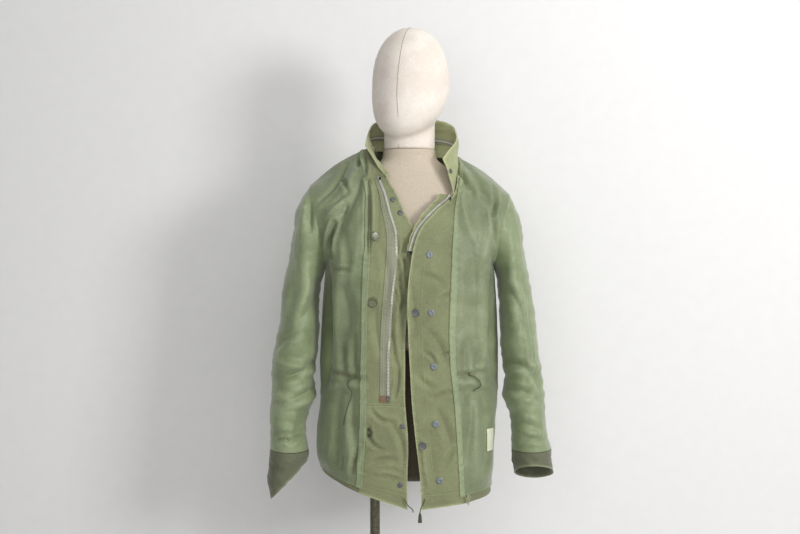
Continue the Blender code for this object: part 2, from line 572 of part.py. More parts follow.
def make_sleeve(side, cloths):
    rows = SLEEVE_RIGHT if side == "right" else SLEEVE_LEFT
    cuffs = CUFF_RIGHT if side == "right" else CUFF_LEFT
    angles = sleeve_angles()
    phis = [r.phi for r in FRONT_RIGHT]
    seam_ring = []
    for phi in angles:
        signed = phi - 360 if phi > 180 else phi
        v = float(np.interp(-abs(signed), [-p for p in phis[FIRST_ARMHOLE_ROW:]],
                            range(FIRST_ARMHOLE_ROW, len(phis))))
        cloth = cloths[side] if signed >= 0 else cloths["back"]
        u = 3 if signed >= 0 else (4 if side == "right" else 0)
        j, i = cloth.us.index(u), cloth.vs.index(round(v, 3))
        seam_ring.append(cloth.points[i, j])
    first = np.array(seam_ring)
    rings = [sleeve_ring(row, angles) for row in rows]
    points = np.array([first, *rings])
    normals = tube_normals(points)
    for j, phi in enumerate(angles):
        signed = phi - 360 if phi > 180 else phi
        if abs(signed) <= SHARED_ANGLE:
            normals[0, j] = armhole_normal(side, signed)
    step = points[1] - points[0]
    points[0] += step / np.linalg.norm(step, axis=-1, keepdims=True) * (2 * SEAM_EASE)
    front = angles.index(SLEEVE_FRONT_SEAM)
    wrapped = np.concatenate([points, points[:, :1]], axis=1)
    normals = np.concatenate([normals, normals[:, :1]], axis=1)
    for name, span in (("upper", slice(0, front + 1)), ("under", slice(front, None))):
        piece = wrapped[:, span].copy()
        normal = normals[:, span]
        for near, far in ((0, 1), (-1, -2)):
            step = piece[:, far] - piece[:, near]
            piece[:, near] += step / np.linalg.norm(step, axis=-1, keepdims=True) * SEAM_EASE
        wall_solid(f"sleeve_{side}_{name}", piece, piece - normal * SLEEVE, "green lining")
    cuff = np.array([sleeve_ring(row, angles) for row in cuffs])
    normals = tube_normals(cuff)
    wall_solid(f"cuff_{side}", cuff, cuff - normals * SLEEVE, "cuff sateen", closed=True)


def make_collar(cloths):
    """The stand collar on the neckline; returns its outer points and its inward normals."""
    left, right, back = cloths["left"], cloths["right"], cloths["back"]
    base = [left.points[left.vs.index(v), 0] for v in LEFT_NECK_ROWS]
    base += [back.points[-1, back.us.index(u)] for u in BACK_NECK_LINES]
    base += [right.points[right.vs.index(v), 0] for v in RIGHT_NECK_ROWS]
    corner = right.points[right.vs.index(RIGHT_CORNER_ROW), 0]
    base += [(base[-1] + corner) / 2, corner]
    base = np.array(base) + np.array((0.0, 0.0, SHELL))
    tops = np.array(COLLAR_TOP)
    points = np.array([base + (tops - base) * share for share in COLLAR_SHARES])
    normals = np.cross(np.gradient(points, axis=1), np.gradient(points, axis=0))
    normals /= np.linalg.norm(normals, axis=-1, keepdims=True)
    inward = -points * np.array((1.0, 1.0, 0.0))
    if (normals * inward).sum() < 0:
        normals = -normals
    wall_solid("collar", points, points + normals * COLLAR, "olive sateen")
    return points, normals


def collar_spot(points, normals, station, share, depth):
    """Place on the collar, `depth` inwards from its outer face, with the inward normal."""
    shares = list(COLLAR_SHARES)
    i = max(k for k, value in enumerate(shares[:-1]) if value <= share)
    t = (share - shares[i]) / (shares[i + 1] - shares[i])
    j = min(int(station), points.shape[1] - 2)
    s = station - j
    spot, normal = (
        (1 - t) * ((1 - s) * g[i, j] + s * g[i, j + 1]) + t * ((1 - s) * g[i + 1, j] + s * g[i + 1, j + 1])
        for g in (points, normals))
    normal = normal / np.linalg.norm(normal)
    return spot + normal * depth, normal


def ribbon(name, lines, kind, depth, thickness):
    """A thin wall laid on lines of (point, normal) pairs, raised by `depth` along the normals."""
    points = np.array([[p for p, _ in line] for line in lines])
    normals = np.array([[n for _, n in line] for line in lines])
    wall_solid(name, points + normals * (depth + thickness), points + normals * depth, kind)


def make_hood_zip(points, normals):
    first, last = HOOD_ZIP_STATIONS
    stations = [first, first + HOOD_CHAIN_START, *range(first + 1, last + 1)]
    for name, shares, kind, depth, thickness in (
            ("hood_zip_tape", HOOD_TAPE_SHARES, "zip tape", GAP, TAPE),
            ("hood_zip_chain", HOOD_CHAIN_SHARES, "zip metal", 2 * GAP + TAPE, CHAIN)):
        along = stations if name == "hood_zip_tape" else stations[1:]
        lines = [[collar_spot(points, normals, s, share, COLLAR) for s in along] for share in shares]
        ribbon(name, lines, kind, depth, thickness)
    here, out = collar_spot(points, normals, SLIDER_STATION, SLIDER_SHARE, COLLAR)
    ahead, _ = collar_spot(points, normals, SLIDER_STATION + SLIDER_AHEAD, SLIDER_SHARE, COLLAR)
    along = ahead - here
    along = along - out * np.dot(along, out)
    along /= np.linalg.norm(along)
    down = np.cross(out, along)
    if down[2] > 0:
        down = -down
    centre = here + out * (SLIDER_LIFT + SLIDER_SIZE[2] / 2) + along * (SLIDER_SIZE[0] / 2)
    block("hood_zip_slider", centre, (along, down, out), SLIDER_SIZE, "snap metal")
    pivot = centre + down * (SLIDER_SIZE[1] / 2 + PULL_CLEARANCE + PULL_SIZE[2] / 2)
    middle = pivot + down * (PULL_SIZE[1] / 2 - PULL_SIZE[2] / 2)
    pull = block("hood_zip_pull", middle, (along, down, out), PULL_SIZE, "snap metal")
    move_origin(pull, pivot)


def move_origin(obj, origin):
    """Put a mesh object's origin at a point, its surface staying where it is."""
    origin = Vector(origin)
    for vertex in obj.data.vertices:
        vertex.co -= origin
    obj.location = origin


def block(name, centre, axes, size, kind):
    """A box of three sizes along three axes, its edges bevelled."""
    corners = []
    for a in (-0.5, 0.5):
        for b in (-0.5, 0.5):
            for c in (-0.5, 0.5):
                corners.append(centre + axes[0] * a * size[0] + axes[1] * b * size[1] + axes[2] * c * size[2])
    faces = [(0, 1, 3, 2), (4, 6, 7, 5), (0, 4, 5, 1), (2, 3, 7, 6), (0, 2, 6, 4), (1, 5, 7, 3)]
    obj = add_mesh(name, corners, faces, kind, BLOCK_CREASE)
    mesh = bmesh.new()
    mesh.from_mesh(obj.data)
    bmesh.ops.recalc_face_normals(mesh, faces=mesh.faces)
    bmesh.ops.bevel(mesh, geom=mesh.edges[:], offset=min(size) * BLOCK_BEVEL, segments=1, affect="EDGES")
    mesh.to_mesh(obj.data)
    mesh.free()
    return obj


def turned(name, centre, normal, radius, profile, sides, kind):
    """A solid turned about `normal`; the profile's radii are shares of `radius`."""
    normal = np.array(normal) / np.linalg.norm(normal)
    across = np.cross(normal, (0.0, 0.0, 1.0) if abs(normal[2]) < 0.9 else (1.0, 0.0, 0.0))
    across /= np.linalg.norm(across)
    other = np.cross(normal, across)
    points, faces = [centre + normal * profile[0][1]], []
    for share, height in profile[1:-1]:
        for k in range(sides):
            turn = 2 * math.pi * k / sides
            points.append(centre + normal * height
                          + (across * math.cos(turn) + other * math.sin(turn)) * share * radius)
    points.append(centre + normal * profile[-1][1])
    rings = len(profile) - 2
    for k in range(sides):
        n = (k + 1) % sides
        faces.append((0, 1 + n, 1 + k))
        for r in range(rings - 1):
            low, high = 1 + r * sides, 1 + (r + 1) * sides
            faces.append((low + k, low + n, high + n, high + k))
        top = 1 + (rings - 1) * sides
        faces.append((len(points) - 1, top + k, top + n))
    obj = add_mesh(name, points, faces, kind, TURNED_CREASE)
    mesh = bmesh.new()
    mesh.from_mesh(obj.data)
    bmesh.ops.recalc_face_normals(mesh, faces=mesh.faces)
    mesh.to_mesh(obj.data)
    mesh.free()
    return obj


def make_front_zip(cloths):
    left, right = cloths["left"], cloths["right"]
    left.piece("zip_tape_left", "zip tape", TAPE_LINES, (ZIP_FOOT_LINE, ZIP_TOP_LINE), GAP + TAPE, TAPE)
    chain_out = 2 * GAP + TAPE + CHAIN
    left.piece("zip_chain_left", "zip metal", CHAIN_LINES, (CHAIN_FOOT_LINE, ZIP_TOP_LINE), chain_out, CHAIN)
    box_out = 2 * GAP + TAPE + ZIP_BOX_SIZE[2] / 2
    foot, out = left.spot(sum(CHAIN_LINES) / 2, ZIP_BOX_LINE, box_out)
    up = np.array((0.0, 0.0, 1.0)) - out * out[2]
    up /= np.linalg.norm(up)
    block("zip_box", foot, (np.cross(up, out), up, out), ZIP_BOX_SIZE, "snap metal")
    tape, chain, fly = [], [], []
    for v in RIGHT_LAYER_LINES:
        i = right.vs.index(v)
        edge, inner, normal = right.points[i, 0], right.points[i, 1], right.normals[i, 0]
        past = edge - inner
        past /= np.linalg.norm(past)
        reach = RIGHT_FLY_REACH[v]
        tape.append([(inner, right.normals[i, 1]), (edge, normal), (edge + past * RIGHT_TAPE_REACH, normal)])
        chain.append([(edge + past * r, normal) for r in RIGHT_CHAIN_REACH])
        fly.append([(inner, right.normals[i, 1]), (edge, normal), (edge + past * reach, normal)])
    ribbon("zip_tape_right", tape, "zip tape", -RIGHT_TAPE_DEPTH - TAPE, TAPE)
    ribbon("zip_chain_right", chain, "zip metal", -RIGHT_TAPE_DEPTH + GAP, CHAIN)
    ribbon("fly_right", fly, "olive sateen", -RIGHT_FLY_DEPTH - SHELL, SHELL)


def make_fasteners(cloths, collar):
    left, right = cloths["left"], cloths["right"]
    sets = (("button_left", left, LEFT_BUTTONS, BUTTON_RADIUS, BUTTON_PROFILE, "olive plastic"),
            ("button_right", right, RIGHT_BUTTONS, EDGE_BUTTON_RADIUS, BUTTON_PROFILE, "snap metal"),
            ("snap_left", left, LEFT_SNAPS, SMALL_SNAP_RADIUS, SNAP_PROFILE, "snap metal"),
            ("snap_right", right, RIGHT_SNAPS, SNAP_RADIUS, SNAP_PROFILE, "snap metal"))
    for stem, cloth, places, radius, profile, kind in sets:
        for number, (u, v) in enumerate(places, 1):
            spot, normal = cloth.spot(u, v, FASTENER_LIFT)
            turned(f"{stem}_{number}", spot, normal, radius, profile, FASTENER_SIDES, kind)
    spot, normal = collar_spot(*collar, *COLLAR_SNAP_PLACE, -FASTENER_LIFT)
    turned("snap_collar", spot, -normal, SMALL_SNAP_RADIUS, SNAP_PROFILE, FASTENER_SIDES,
           "snap metal")


def make_label(cloths):
    across, up = LABEL_LINES
    lines = [[cloths["right"].spot(u, v, 0.0) for u in across] for v in up]
    ribbon("care_label", lines, "label tape", LABEL_LIFT, TAPE)


def cord(name, route):
    """A cord of round section along a smooth curve through its route."""
    route = np.array(route)
    runs = np.linalg.norm(np.diff(route, axis=0), axis=1)
    count = max(4, round(runs.sum() / CORD_STEP))
    reached = np.concatenate([[0.0], np.cumsum(runs)])
    places = np.interp(np.linspace(0, reached[-1], count), reached, range(len(route)))
    curve = bpy.data.curves.new(name, "CURVE")
    curve.dimensions = "3D"
    curve.bevel_depth = CORD_RADIUS
    curve.bevel_resolution = 2
    curve.use_fill_caps = True
    spline = curve.splines.new("POLY")
    spline.points.add(count - 1)
    for point, place in zip(spline.points, places):
        point.co = (*smooth(route, place), 1.0)
    obj = bpy.data.objects.new(name, curve)
    bpy.context.collection.objects.link(obj)
    curve.materials.append(material("green cord"))


def make_cords(cloths):
    for side, route in (("left", LEFT_WAIST_CORD), ("right", RIGHT_WAIST_CORD)):
        cord(f"waist_cord_{side}", [cloths[side].spot(*place)[0] for place in route])
    cord("hem_cord_left", LEFT_HEM_CORD)
    cord("hem_cord_right", RIGHT_HEM_CORD)
    top = np.array(RIGHT_HEM_CORD[-1]) - np.array((0.0, 0.0, GAP))
    turned("hem_tassel", top, (0.0, 0.0, 1.0), 1.0, TASSEL_PROFILE, TASSEL_SIDES, "green cord")


def ring(height, half_width, front, back, centre=(0.0, 0.0), power=TORSO_POWER, sides=TORSO_SIDES):
    points = []
    for k in range(sides):
        turn = 2 * math.pi * k / sides
        c, s = math.cos(turn), math.sin(turn)
        x = half_width * math.copysign(abs(c) ** (2 / power), c)
        y = (back if s > 0 else front) * math.copysign(abs(s) ** (2 / power), s)
        points.append((centre[0] + x, centre[1] + y, height))
    return points


def lofted(name, rings, kind):
    """A solid through rings of points, closed flat at both ends."""
    sides = len(rings[0])
    points = [p for each in rings for p in each]
    faces = [tuple(reversed(range(sides)))]
    for r in range(len(rings) - 1):
        for k in range(sides):
            n = (k + 1) % sides
            low, high = r * sides, (r + 1) * sides
            faces.append((low + k, low + n, high + n, high + k))
    faces.append(tuple(range(len(points) - sides, len(points))))
    return add_mesh(name, points, faces, kind)


def make_form():
    """Smooth egg head on a neck, and a limbless torso, as two solids that meet at the neck."""
    lofted("form_torso", [ring(*sizes) for sizes in TORSO_RINGS], "form cloth")
    rings = []
    for k in range(1, HEAD_LEVELS):
        t = -math.cos(math.pi * k / HEAD_LEVELS)
        size = (1 - abs(t) ** HEAD_POWER) ** (1 / HEAD_POWER)
        lean = max(-t, 0.0)
        centre = [c + shift * lean ** LEAN_POWER for c, shift in zip(HEAD_CENTRE, CHIN_SHIFT)]
        back = HEAD_HALF_DEPTH * size * (HEAD_BACK_SHARE - NAPE_DRAW_IN * lean)
        rings.append(ring(HEAD_CENTRE_Z + t * HEAD_HALF_HEIGHT, HEAD_HALF_WIDTH * size,
                          HEAD_HALF_DEPTH * size, back, centre, 2.0))
    head = lofted("form_head", rings, "form cloth")
    neck_rings = [ring(z, NECK_RADIUS, NECK_RADIUS, NECK_BACK, power=2.0)
                  for z in (NECK_SEAM_Z, *NECK_TOP_LEVELS)]
    neck = lofted("neck_guide", neck_rings, "form cloth")
    neck.hide_render = True
    neck.display_type = "WIRE"
    union = head.modifiers.new("neck", "BOOLEAN")
    union.operation = "UNION"
    union.solver = "EXACT"
    union.object = neck


def make_stand():
    base = ((0, 0), (1, 0), (1, BASE_HEIGHT - BASE_BEVEL),
            (1 - BASE_BEVEL / BASE_RADIUS, BASE_HEIGHT), (0, BASE_HEIGHT))
    turned("base_plate", np.zeros(3), (0, 0, 1), BASE_RADIUS, base, BASE_SIDES, "stand steel")
    top = TORSO_RINGS[0][0] - GAP
    foot = BASE_HEIGHT + GAP
    pole = ((0, 0), (1, 0), (1, top - foot), (0, top - foot))
    turned("pole", np.array((POLE_X, 0.0, foot)), (0, 0, 1), POLE_RADIUS, pole, POLE_SIDES, "stand steel")


def make_all():
    clear_scene()
    make_form()
    make_stand()
    cloths = make_body()
    for side in ("left", "right"):
        make_sleeve(side, cloths)
    collar = make_collar(cloths)
    make_hood_zip(*collar)
    make_front_zip(cloths)
    make_fasteners(cloths, collar)
    make_label(cloths)
    make_cords(cloths)


make_all()
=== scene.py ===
# %% [markdown]
# # A field jacket on a dress form
# The jacket is worn inside out and open, so its green lining, olive facings, zip and snaps show.
# This lesson loads the solids as a fixed frame, then makes the cloth as thin shells on the
# same section tables, with listed creases, and finishes every surface with node materials.

# %% Load the frame
import math
from collections import namedtuple

import bpy
import numpy as np
from mathutils import Matrix, Vector


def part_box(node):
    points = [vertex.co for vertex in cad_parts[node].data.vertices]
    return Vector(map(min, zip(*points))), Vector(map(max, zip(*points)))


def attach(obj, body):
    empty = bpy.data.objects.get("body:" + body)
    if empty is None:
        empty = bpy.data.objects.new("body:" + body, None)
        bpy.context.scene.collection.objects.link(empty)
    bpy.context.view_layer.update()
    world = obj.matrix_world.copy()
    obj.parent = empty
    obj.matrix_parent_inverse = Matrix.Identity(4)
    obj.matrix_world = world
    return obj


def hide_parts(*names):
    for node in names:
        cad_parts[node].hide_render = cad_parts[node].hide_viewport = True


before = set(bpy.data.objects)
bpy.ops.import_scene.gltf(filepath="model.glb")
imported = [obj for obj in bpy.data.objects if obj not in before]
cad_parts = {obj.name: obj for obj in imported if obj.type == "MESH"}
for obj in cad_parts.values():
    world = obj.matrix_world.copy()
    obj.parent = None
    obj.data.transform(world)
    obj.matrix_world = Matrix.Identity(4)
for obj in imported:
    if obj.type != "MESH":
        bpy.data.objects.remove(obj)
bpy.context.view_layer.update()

BODY = "garment_on_form"

# %% [markdown]
# ## Small helpers
# Operators act on what is selected, so everything is deselected before each one. Colours are
# written as sRGB hex, as a paint chart gives them, and one function turns them to linear values.
# One function adds any shader node, with its settings and links.

# %% Helpers for selection, colour and nodes
def deselect():
    for obj in bpy.context.selected_objects:
        obj.select_set(False)


def hex_colour(code):
    values = [int(code[k:k + 2], 16) / 255 for k in (1, 3, 5)]
    return (*[v / 12.92 if v <= 0.04045 else ((v + 0.055) / 1.055) ** 2.4 for v in values], 1.0)


def add_node(tree, kind, settings=None, **inputs):
    """Adds a node; settings are its properties, inputs its sockets' values or linked outputs."""
    made = tree.nodes.new(kind)
    for key, value in (settings or {}).items():
        setattr(made, key, value)
    for key, value in inputs.items():
        socket = made.inputs[int(key[1:])] if key[1:].isdigit() else made.inputs[key.replace("_", " ")]
        if isinstance(value, bpy.types.NodeSocket):
            tree.links.new(value, socket)
        else:
            socket.default_value = value
    return made


def new_material(name):
    made = bpy.data.materials.new(name)
    made.use_nodes = True
    tree = made.node_tree
    return made, tree, tree.nodes["Principled BSDF"]


def ramp(tree, factor, stops):
    """A colour ramp of (place, hex colour) stops."""
    made = add_node(tree, "ShaderNodeValToRGB", Fac=factor)
    elements = made.color_ramp.elements
    while len(elements) < len(stops):
        elements.new(0.5)
    for element, (place, code) in zip(elements, stops):
        element.position = place
        element.color = hex_colour(code)
    return made.outputs["Color"]


# %% [markdown]
# ## The camera
# A level camera with a normal lens stands in front of the jacket, 21 mm to the left of its middle, at
# chest height.

# %% Camera
CAMERA_PLACE = (-0.021, -2.489, 1.267)
camera_data = bpy.data.cameras.new("camera")
camera_data.lens = 50
camera_data.sensor_width = 36
camera = bpy.data.objects.new("camera", camera_data)
camera.location = CAMERA_PLACE
camera.rotation_euler = (math.radians(90), 0, 0)
bpy.context.collection.objects.link(camera)
bpy.context.scene.camera = camera
bpy.context.scene.view_settings.view_transform = "Standard"     # white paint stays white
print("camera at", CAMERA_PLACE)

# %% [markdown]
# ## Cloth materials
# Cotton sateen is woven so that most warp threads lie on top, which gives a soft directional sheen.
# Washing leaves it mottled and pale along every edge. Each cloth here is a weave drawn from the
# piece's own UV map, in metres, so it follows the surface. Threads of about 0.3 mm are too fine to
# show, so soft uneven bands 6 to 14 mm apart stand for them, coarser than any real weave. A point
# attribute called wear carries the pale edges.

# %% Woven cloth
BLOTCH_SCALE = 14.0         # washed patches, about 70 mm across
GRAIN_SCALE = 420.0         # specks, about 2 mm across
GRAIN_SHARE = 0.35          # of the specks in the colour, the rest being patches
MOTTLE_SPREAD = 0.35        # of the three shades about the middle one
RUB_GAIN = 1.9              # how fast a worn edge reaches its palest
PUCKER_SCALE = 110.0        # small puckers in the relief
WAVE_FACTOR = 20            # by which the band texture multiplies its scale
CRUMPLE_SCALE = 11.0        # small sharp creases, about 90 mm apart
WEAVE_HEIGHT, PUCKER_HEIGHT, CRUMPLE_HEIGHT = 0.0006, 0.0022, 0.006      # of the bumps, metres


def woven(name, shades, worn, coarseness, roughness, sheen, mottle=0.5, weave=0.10, pucker=0.25,
          crumple=0.0):
    """Cloth in three shades, dark to light, paler where wear is high. Its bands repeat every 6.3 times
    coarseness, in millimetres."""
    made, tree, shader = new_material(name)
    uv = add_node(tree, "ShaderNodeUVMap", {"uv_map": "cloth"}).outputs["UV"]
    place = add_node(tree, "ShaderNodeTexCoord").outputs["Object"]
    blotch = add_node(tree, "ShaderNodeTexNoise", Vector=place, Scale=BLOTCH_SCALE, Detail=5.0, Roughness=0.6)
    grain = add_node(tree, "ShaderNodeTexNoise", Vector=place, Scale=GRAIN_SCALE, Detail=2.0)
    both = add_node(tree, "ShaderNodeMix", {"data_type": "FLOAT"}, i0=GRAIN_SHARE,
                    i2=blotch.outputs["Fac"], i3=grain.outputs["Fac"])
    low, high = 0.5 - mottle * MOTTLE_SPREAD, 0.5 + mottle * MOTTLE_SPREAD
    colour = ramp(tree, both.outputs[0], ((low, shades[0]), (0.5, shades[1]), (high, shades[2])))
    wear = add_node(tree, "ShaderNodeAttribute", {"attribute_name": "wear"}).outputs["Fac"]
    rubbed = add_node(tree, "ShaderNodeMath", {"operation": "MULTIPLY", "use_clamp": True},
                      i0=wear, i1=grain.outputs["Fac"])
    rubbed = add_node(tree, "ShaderNodeMath", {"operation": "MULTIPLY", "use_clamp": True},
                      i0=rubbed.outputs[0], i1=RUB_GAIN)
    mixed = add_node(tree, "ShaderNodeMix", {"data_type": "RGBA"}, i0=rubbed.outputs[0], i6=colour,
                     i7=hex_colour(worn))
    tree.links.new(mixed.outputs[2], shader.inputs["Base Color"])
    bands = []
    for direction in ("X", "Y"):
        wave = add_node(tree, "ShaderNodeTexWave", {"bands_direction": direction}, Vector=uv,
                        Scale=1000 / coarseness / WAVE_FACTOR, Distortion=1.2, Detail=1.0)
        bands.append(wave.outputs["Fac"])
    threads = add_node(tree, "ShaderNodeMath", {"operation": "ADD"}, i0=bands[0], i1=bands[1])
    small = add_node(tree, "ShaderNodeTexNoise", Vector=uv, Scale=PUCKER_SCALE, Detail=3.0)
    first = add_node(tree, "ShaderNodeBump", Strength=weave, Distance=WEAVE_HEIGHT, Height=threads.outputs[0])
    second = add_node(tree, "ShaderNodeBump", Strength=pucker, Distance=PUCKER_HEIGHT,
                      Height=small.outputs["Fac"], Normal=first.outputs["Normal"])
    ridges = add_node(tree, "ShaderNodeTexNoise", {"noise_type": "RIDGED_MULTIFRACTAL"}, Vector=place,
                      Scale=CRUMPLE_SCALE, Detail=2.0, Distortion=0.6)
    third = add_node(tree, "ShaderNodeBump", Strength=crumple, Distance=CRUMPLE_HEIGHT,
                     Height=ridges.outputs["Fac"], Normal=second.outputs["Normal"])
    tree.links.new(third.outputs["Normal"], shader.inputs["Normal"])
    shader.inputs["Roughness"].default_value = roughness
    shader.inputs["Sheen Weight"].default_value = sheen
    shader.inputs["Sheen Roughness"].default_value = 0.45
    return made


SATEEN = woven("washed_cotton_sateen", ("#64694a", "#737855", "#818661"), "#a6aa80", 1.4, 0.72, 0.25,
               crumple=0.22)
# The collar's sateen is a lighter copy of the facings' sateen: painted light where the collar faces the main
# lamp.
COLLAR_LIT_SATEEN = woven("collar_cotton_sateen", ("#797d58", "#898d65", "#989c73"), "#b4b88c", 1.4, 0.7, 0.3)
LINING_CLOTH = woven("satin_weave_lining", ("#656e4e", "#737d5c", "#828b69"), "#98a27e", 1.0, 0.5, 0.3,
                     0.4, 0.05, 0.12, 0.30)
# The sleeves' lining is a lighter copy of the body's lining: painted light on the sleeves.
SLEEVE_LIT_LINING = woven("sleeve_satin_lining", ("#6f7a57", "#7e8a66", "#8d9875"), "#9fa984", 1.0, 0.5, 0.3,
                     0.4, 0.05, 0.12, 0.30)
WELT_CLOTH = woven("stitched_lining_welt", ("#75805e", "#84906d", "#929c7a"), "#a3ad8b", 1.0, 0.6, 0.25,
                   0.5, 0.1, 0.3)
CUFF_SATEEN = woven("cuff_cotton_sateen", ("#4d503e", "#5c5f49", "#686b54"), "#868a6a", 1.4, 0.78, 0.2)
INNER_SATEEN = woven("shell_cotton_sateen", ("#63654d", "#727455", "#808361"), "#8d9069", 1.6, 0.8, 0.1)
TAPE_WEAVE = woven("ribbed_zip_tape", ("#757661", "#80826d", "#8b8d78"), "#9c9e87", 2.2, 0.85, 0.1,
                   0.3, 0.45, 0.1)
LABEL_WEAVE = woven("blank_label_tape", ("#bfc2a8", "#cdd0b6", "#d8dbc4"), "#e0e2d0", 1.2, 0.8, 0.1)
CORD_COTTON = woven("braided_cotton_cord", ("#3a3f2c", "#464b36", "#535941"), "#6b7055", 1.2, 0.85, 0.2)
FORM_CLOTH = woven("stretched_form_cotton", ("#dcd1c5", "#e3d9ce", "#e9e0d6"), "#ece4da", 1.2, 0.85, 0.15,
                   0.2, 0.05, 0.04)
THREAD = woven("olive_sewing_thread", ("#959e78", "#a3ab84", "#b0b890"), "#b8bf98", 1.0, 0.8, 0.1)
print("cloths", sum(m.name.islower() for m in bpy.data.materials))

# %% [markdown]
# ## Hard finishes
# The teeth are bare aluminium, tumbled to a satin. The snaps and slider are brass under a dark
# enamel that has rubbed through at the rims, and the buttons are moulded urea plastic.

# %% Metal, enamel and plastic
def hard(name, dark, light, metallic, roughness, grit_mm):
    made, tree, shader = new_material(name)
    place = add_node(tree, "ShaderNodeTexCoord").outputs["Object"]
    grit = add_node(tree, "ShaderNodeTexNoise", Vector=place, Scale=1000 / grit_mm, Detail=4.0)
    tree.links.new(ramp(tree, grit.outputs["Fac"], ((0.3, dark), (0.7, light))), shader.inputs["Base Color"])
    rough = add_node(tree, "ShaderNodeMapRange", Value=grit.outputs["Fac"], To_Min=roughness * 0.8,
                     To_Max=min(roughness * 1.25, 1.0))
    tree.links.new(rough.outputs["Result"], shader.inputs["Roughness"])
    bump = add_node(tree, "ShaderNodeBump", Strength=0.1, Distance=0.0002, Height=grit.outputs["Fac"])
    tree.links.new(bump.outputs["Normal"], shader.inputs["Normal"])
    shader.inputs["Metallic"].default_value = metallic
    return made


ALUMINIUM = hard("tumbled_aluminium", "#bdbdb6", "#deddd6", 0.45, 0.5, 1.5)
SNAP_ZINC = hard("dull_plated_snap", "#6c757a", "#8a9397", 0.35, 0.5, 3.0)
ENAMEL = hard("rubbed_enamel_on_brass", "#505456", "#7b7d7b", 0.6, 0.38, 3.0)
UREA = hard("moulded_urea_plastic", "#4f533b", "#656a4b", 0.0, 0.28, 4.0)
STEEL = hard("satin_steel", "#5c5849", "#7c7768", 1.0, 0.42, 6.0)
print("hard finishes ready")

# %% [markdown]
# ## The jacket's sections
# A pattern cutter works from a few measures taken at each height. The fronts have a row for each
# height from hem to shoulder, with the front edge, the facing seam, the flank and the side seam.
# These are the rows that the solids were made from, so the cloth lies on its solid's form.

# %% Section tables, in metres
FrontRow = namedtuple("FrontRow", "edge_x edge_y edge_z seam_x seam_y flank_x flank_y "
                                  "side_x side_z phi")
FRONT_ROWS = {
    "right": [FrontRow(*row) for row in (
        (0.0250, -0.135, 0.752, 0.1110, -0.125, 0.160, -0.085, 0.181, 0.772, 180),
        (0.0215, -0.135, 0.820, 0.1080, -0.127, 0.163, -0.090, 0.185, 0.830, 180),
        (0.0120, -0.135, 0.900, 0.1036, -0.128, 0.165, -0.090, 0.187, 0.900, 180),
        (0.0040, -0.134, 0.980, 0.0985, -0.127, 0.162, -0.088, 0.196, 0.980, 180),
        (0.0000, -0.134, 1.050, 0.0910, -0.126, 0.158, -0.088, 0.198, 1.050, 180),
        (-0.0035, -0.135, 1.120, 0.0880, -0.128, 0.162, -0.090, 0.197, 1.120, 180),
        (-0.0055, -0.138, 1.200, 0.0905, -0.131, 0.168, -0.092, 0.194, 1.200, 180),
        (0.0000, -0.140, 1.262, 0.0928, -0.133, 0.170, -0.095, 0.190, 1.262, 180),
        (0.0060, -0.138, 1.300, 0.0940, -0.131, 0.163, -0.108, 0, 0, 140),
        (0.0210, -0.131, 1.345, 0.0962, -0.125, 0.157, -0.110, 0, 0, 105),
        (0.0545, -0.118, 1.385, 0.0980, -0.113, 0.155, -0.102, 0, 0, 75),
        (0.0950, -0.092, 1.424, 0.1035, -0.091, 0.155, -0.086, 0, 0, 50),
        (0.1050, -0.055, 1.470, 0.1120, -0.055, 0.165, -0.050, 0, 0, 25),
        (0.0980, 0.000, 1.517, 0.1080, 0.000, 0.165, 0.000, 0, 0, 0))],
    "left": [FrontRow(*row) for row in (
        (-0.0055, -0.133, 0.752, -0.1085, -0.125, -0.158, -0.085, -0.196, 0.815, 180),
        (-0.0053, -0.133, 0.820, -0.1045, -0.127, -0.165, -0.090, -0.206, 0.846, 180),
        (-0.0040, -0.133, 0.900, -0.0995, -0.128, -0.168, -0.090, -0.207, 0.900, 180),
        (-0.0100, -0.132, 0.980, -0.0973, -0.127, -0.163, -0.088, -0.198, 0.980, 180),
        (-0.0100, -0.128, 1.050, -0.0970, -0.126, -0.158, -0.088, -0.199, 1.050, 180),
        (-0.0095, -0.124, 1.120, -0.0955, -0.126, -0.152, -0.088, -0.197, 1.120, 180),
        (-0.0010, -0.121, 1.200, -0.0940, -0.128, -0.160, -0.092, -0.193, 1.200, 180),
        (0.0080, -0.120, 1.262, -0.0915, -0.130, -0.166, -0.095, -0.188, 1.262, 180),
        (0.0130, -0.120, 1.300, -0.0905, -0.130, -0.160, -0.108, 0, 0, 140),
        (0.0090, -0.118, 1.345, -0.0898, -0.125, -0.155, -0.110, 0, 0, 105),
        (-0.0115, -0.110, 1.385, -0.0900, -0.115, -0.152, -0.102, 0, 0, 75),
        (-0.0285, -0.099, 1.424, -0.0895, -0.102, -0.150, -0.088, 0, 0, 50),
        (-0.0500, -0.088, 1.460, -0.0950, -0.075, -0.150, -0.055, 0, 0, 25),
        (-0.0920, 0.000, 1.533, -0.1040, 0.000, -0.160, 0.000, 0, 0, 0))]}
BackRow = namedtuple("BackRow", "centre_y centre_z neck_x neck_y neck_z")
BACK_ROWS = [BackRow(*row) for row in (
    (0.118, 0.765, 0.120, 0.105, 0.770), (0.118, 0.820, 0.120, 0.105, 0.822),
    (0.116, 0.900, 0.120, 0.104, 0.900), (0.110, 0.980, 0.118, 0.099, 0.980),
    (0.106, 1.050, 0.115, 0.096, 1.050), (0.107, 1.120, 0.115, 0.097, 1.120),
    (0.112, 1.200, 0.118, 0.103, 1.200), (0.117, 1.262, 0.118, 0.110, 1.262),
    (0.119, 1.300, 0.119, 0.112, 1.298), (0.117, 1.350, 0.116, 0.107, 1.343),
    (0.111, 1.400, 0.112, 0.096, 1.393), (0.100, 1.445, 0.105, 0.078, 1.435),
    (0.086, 1.492, 0.100, 0.045, 1.478), (0.075, 1.535, 0.000, 0.000, 0.000))]
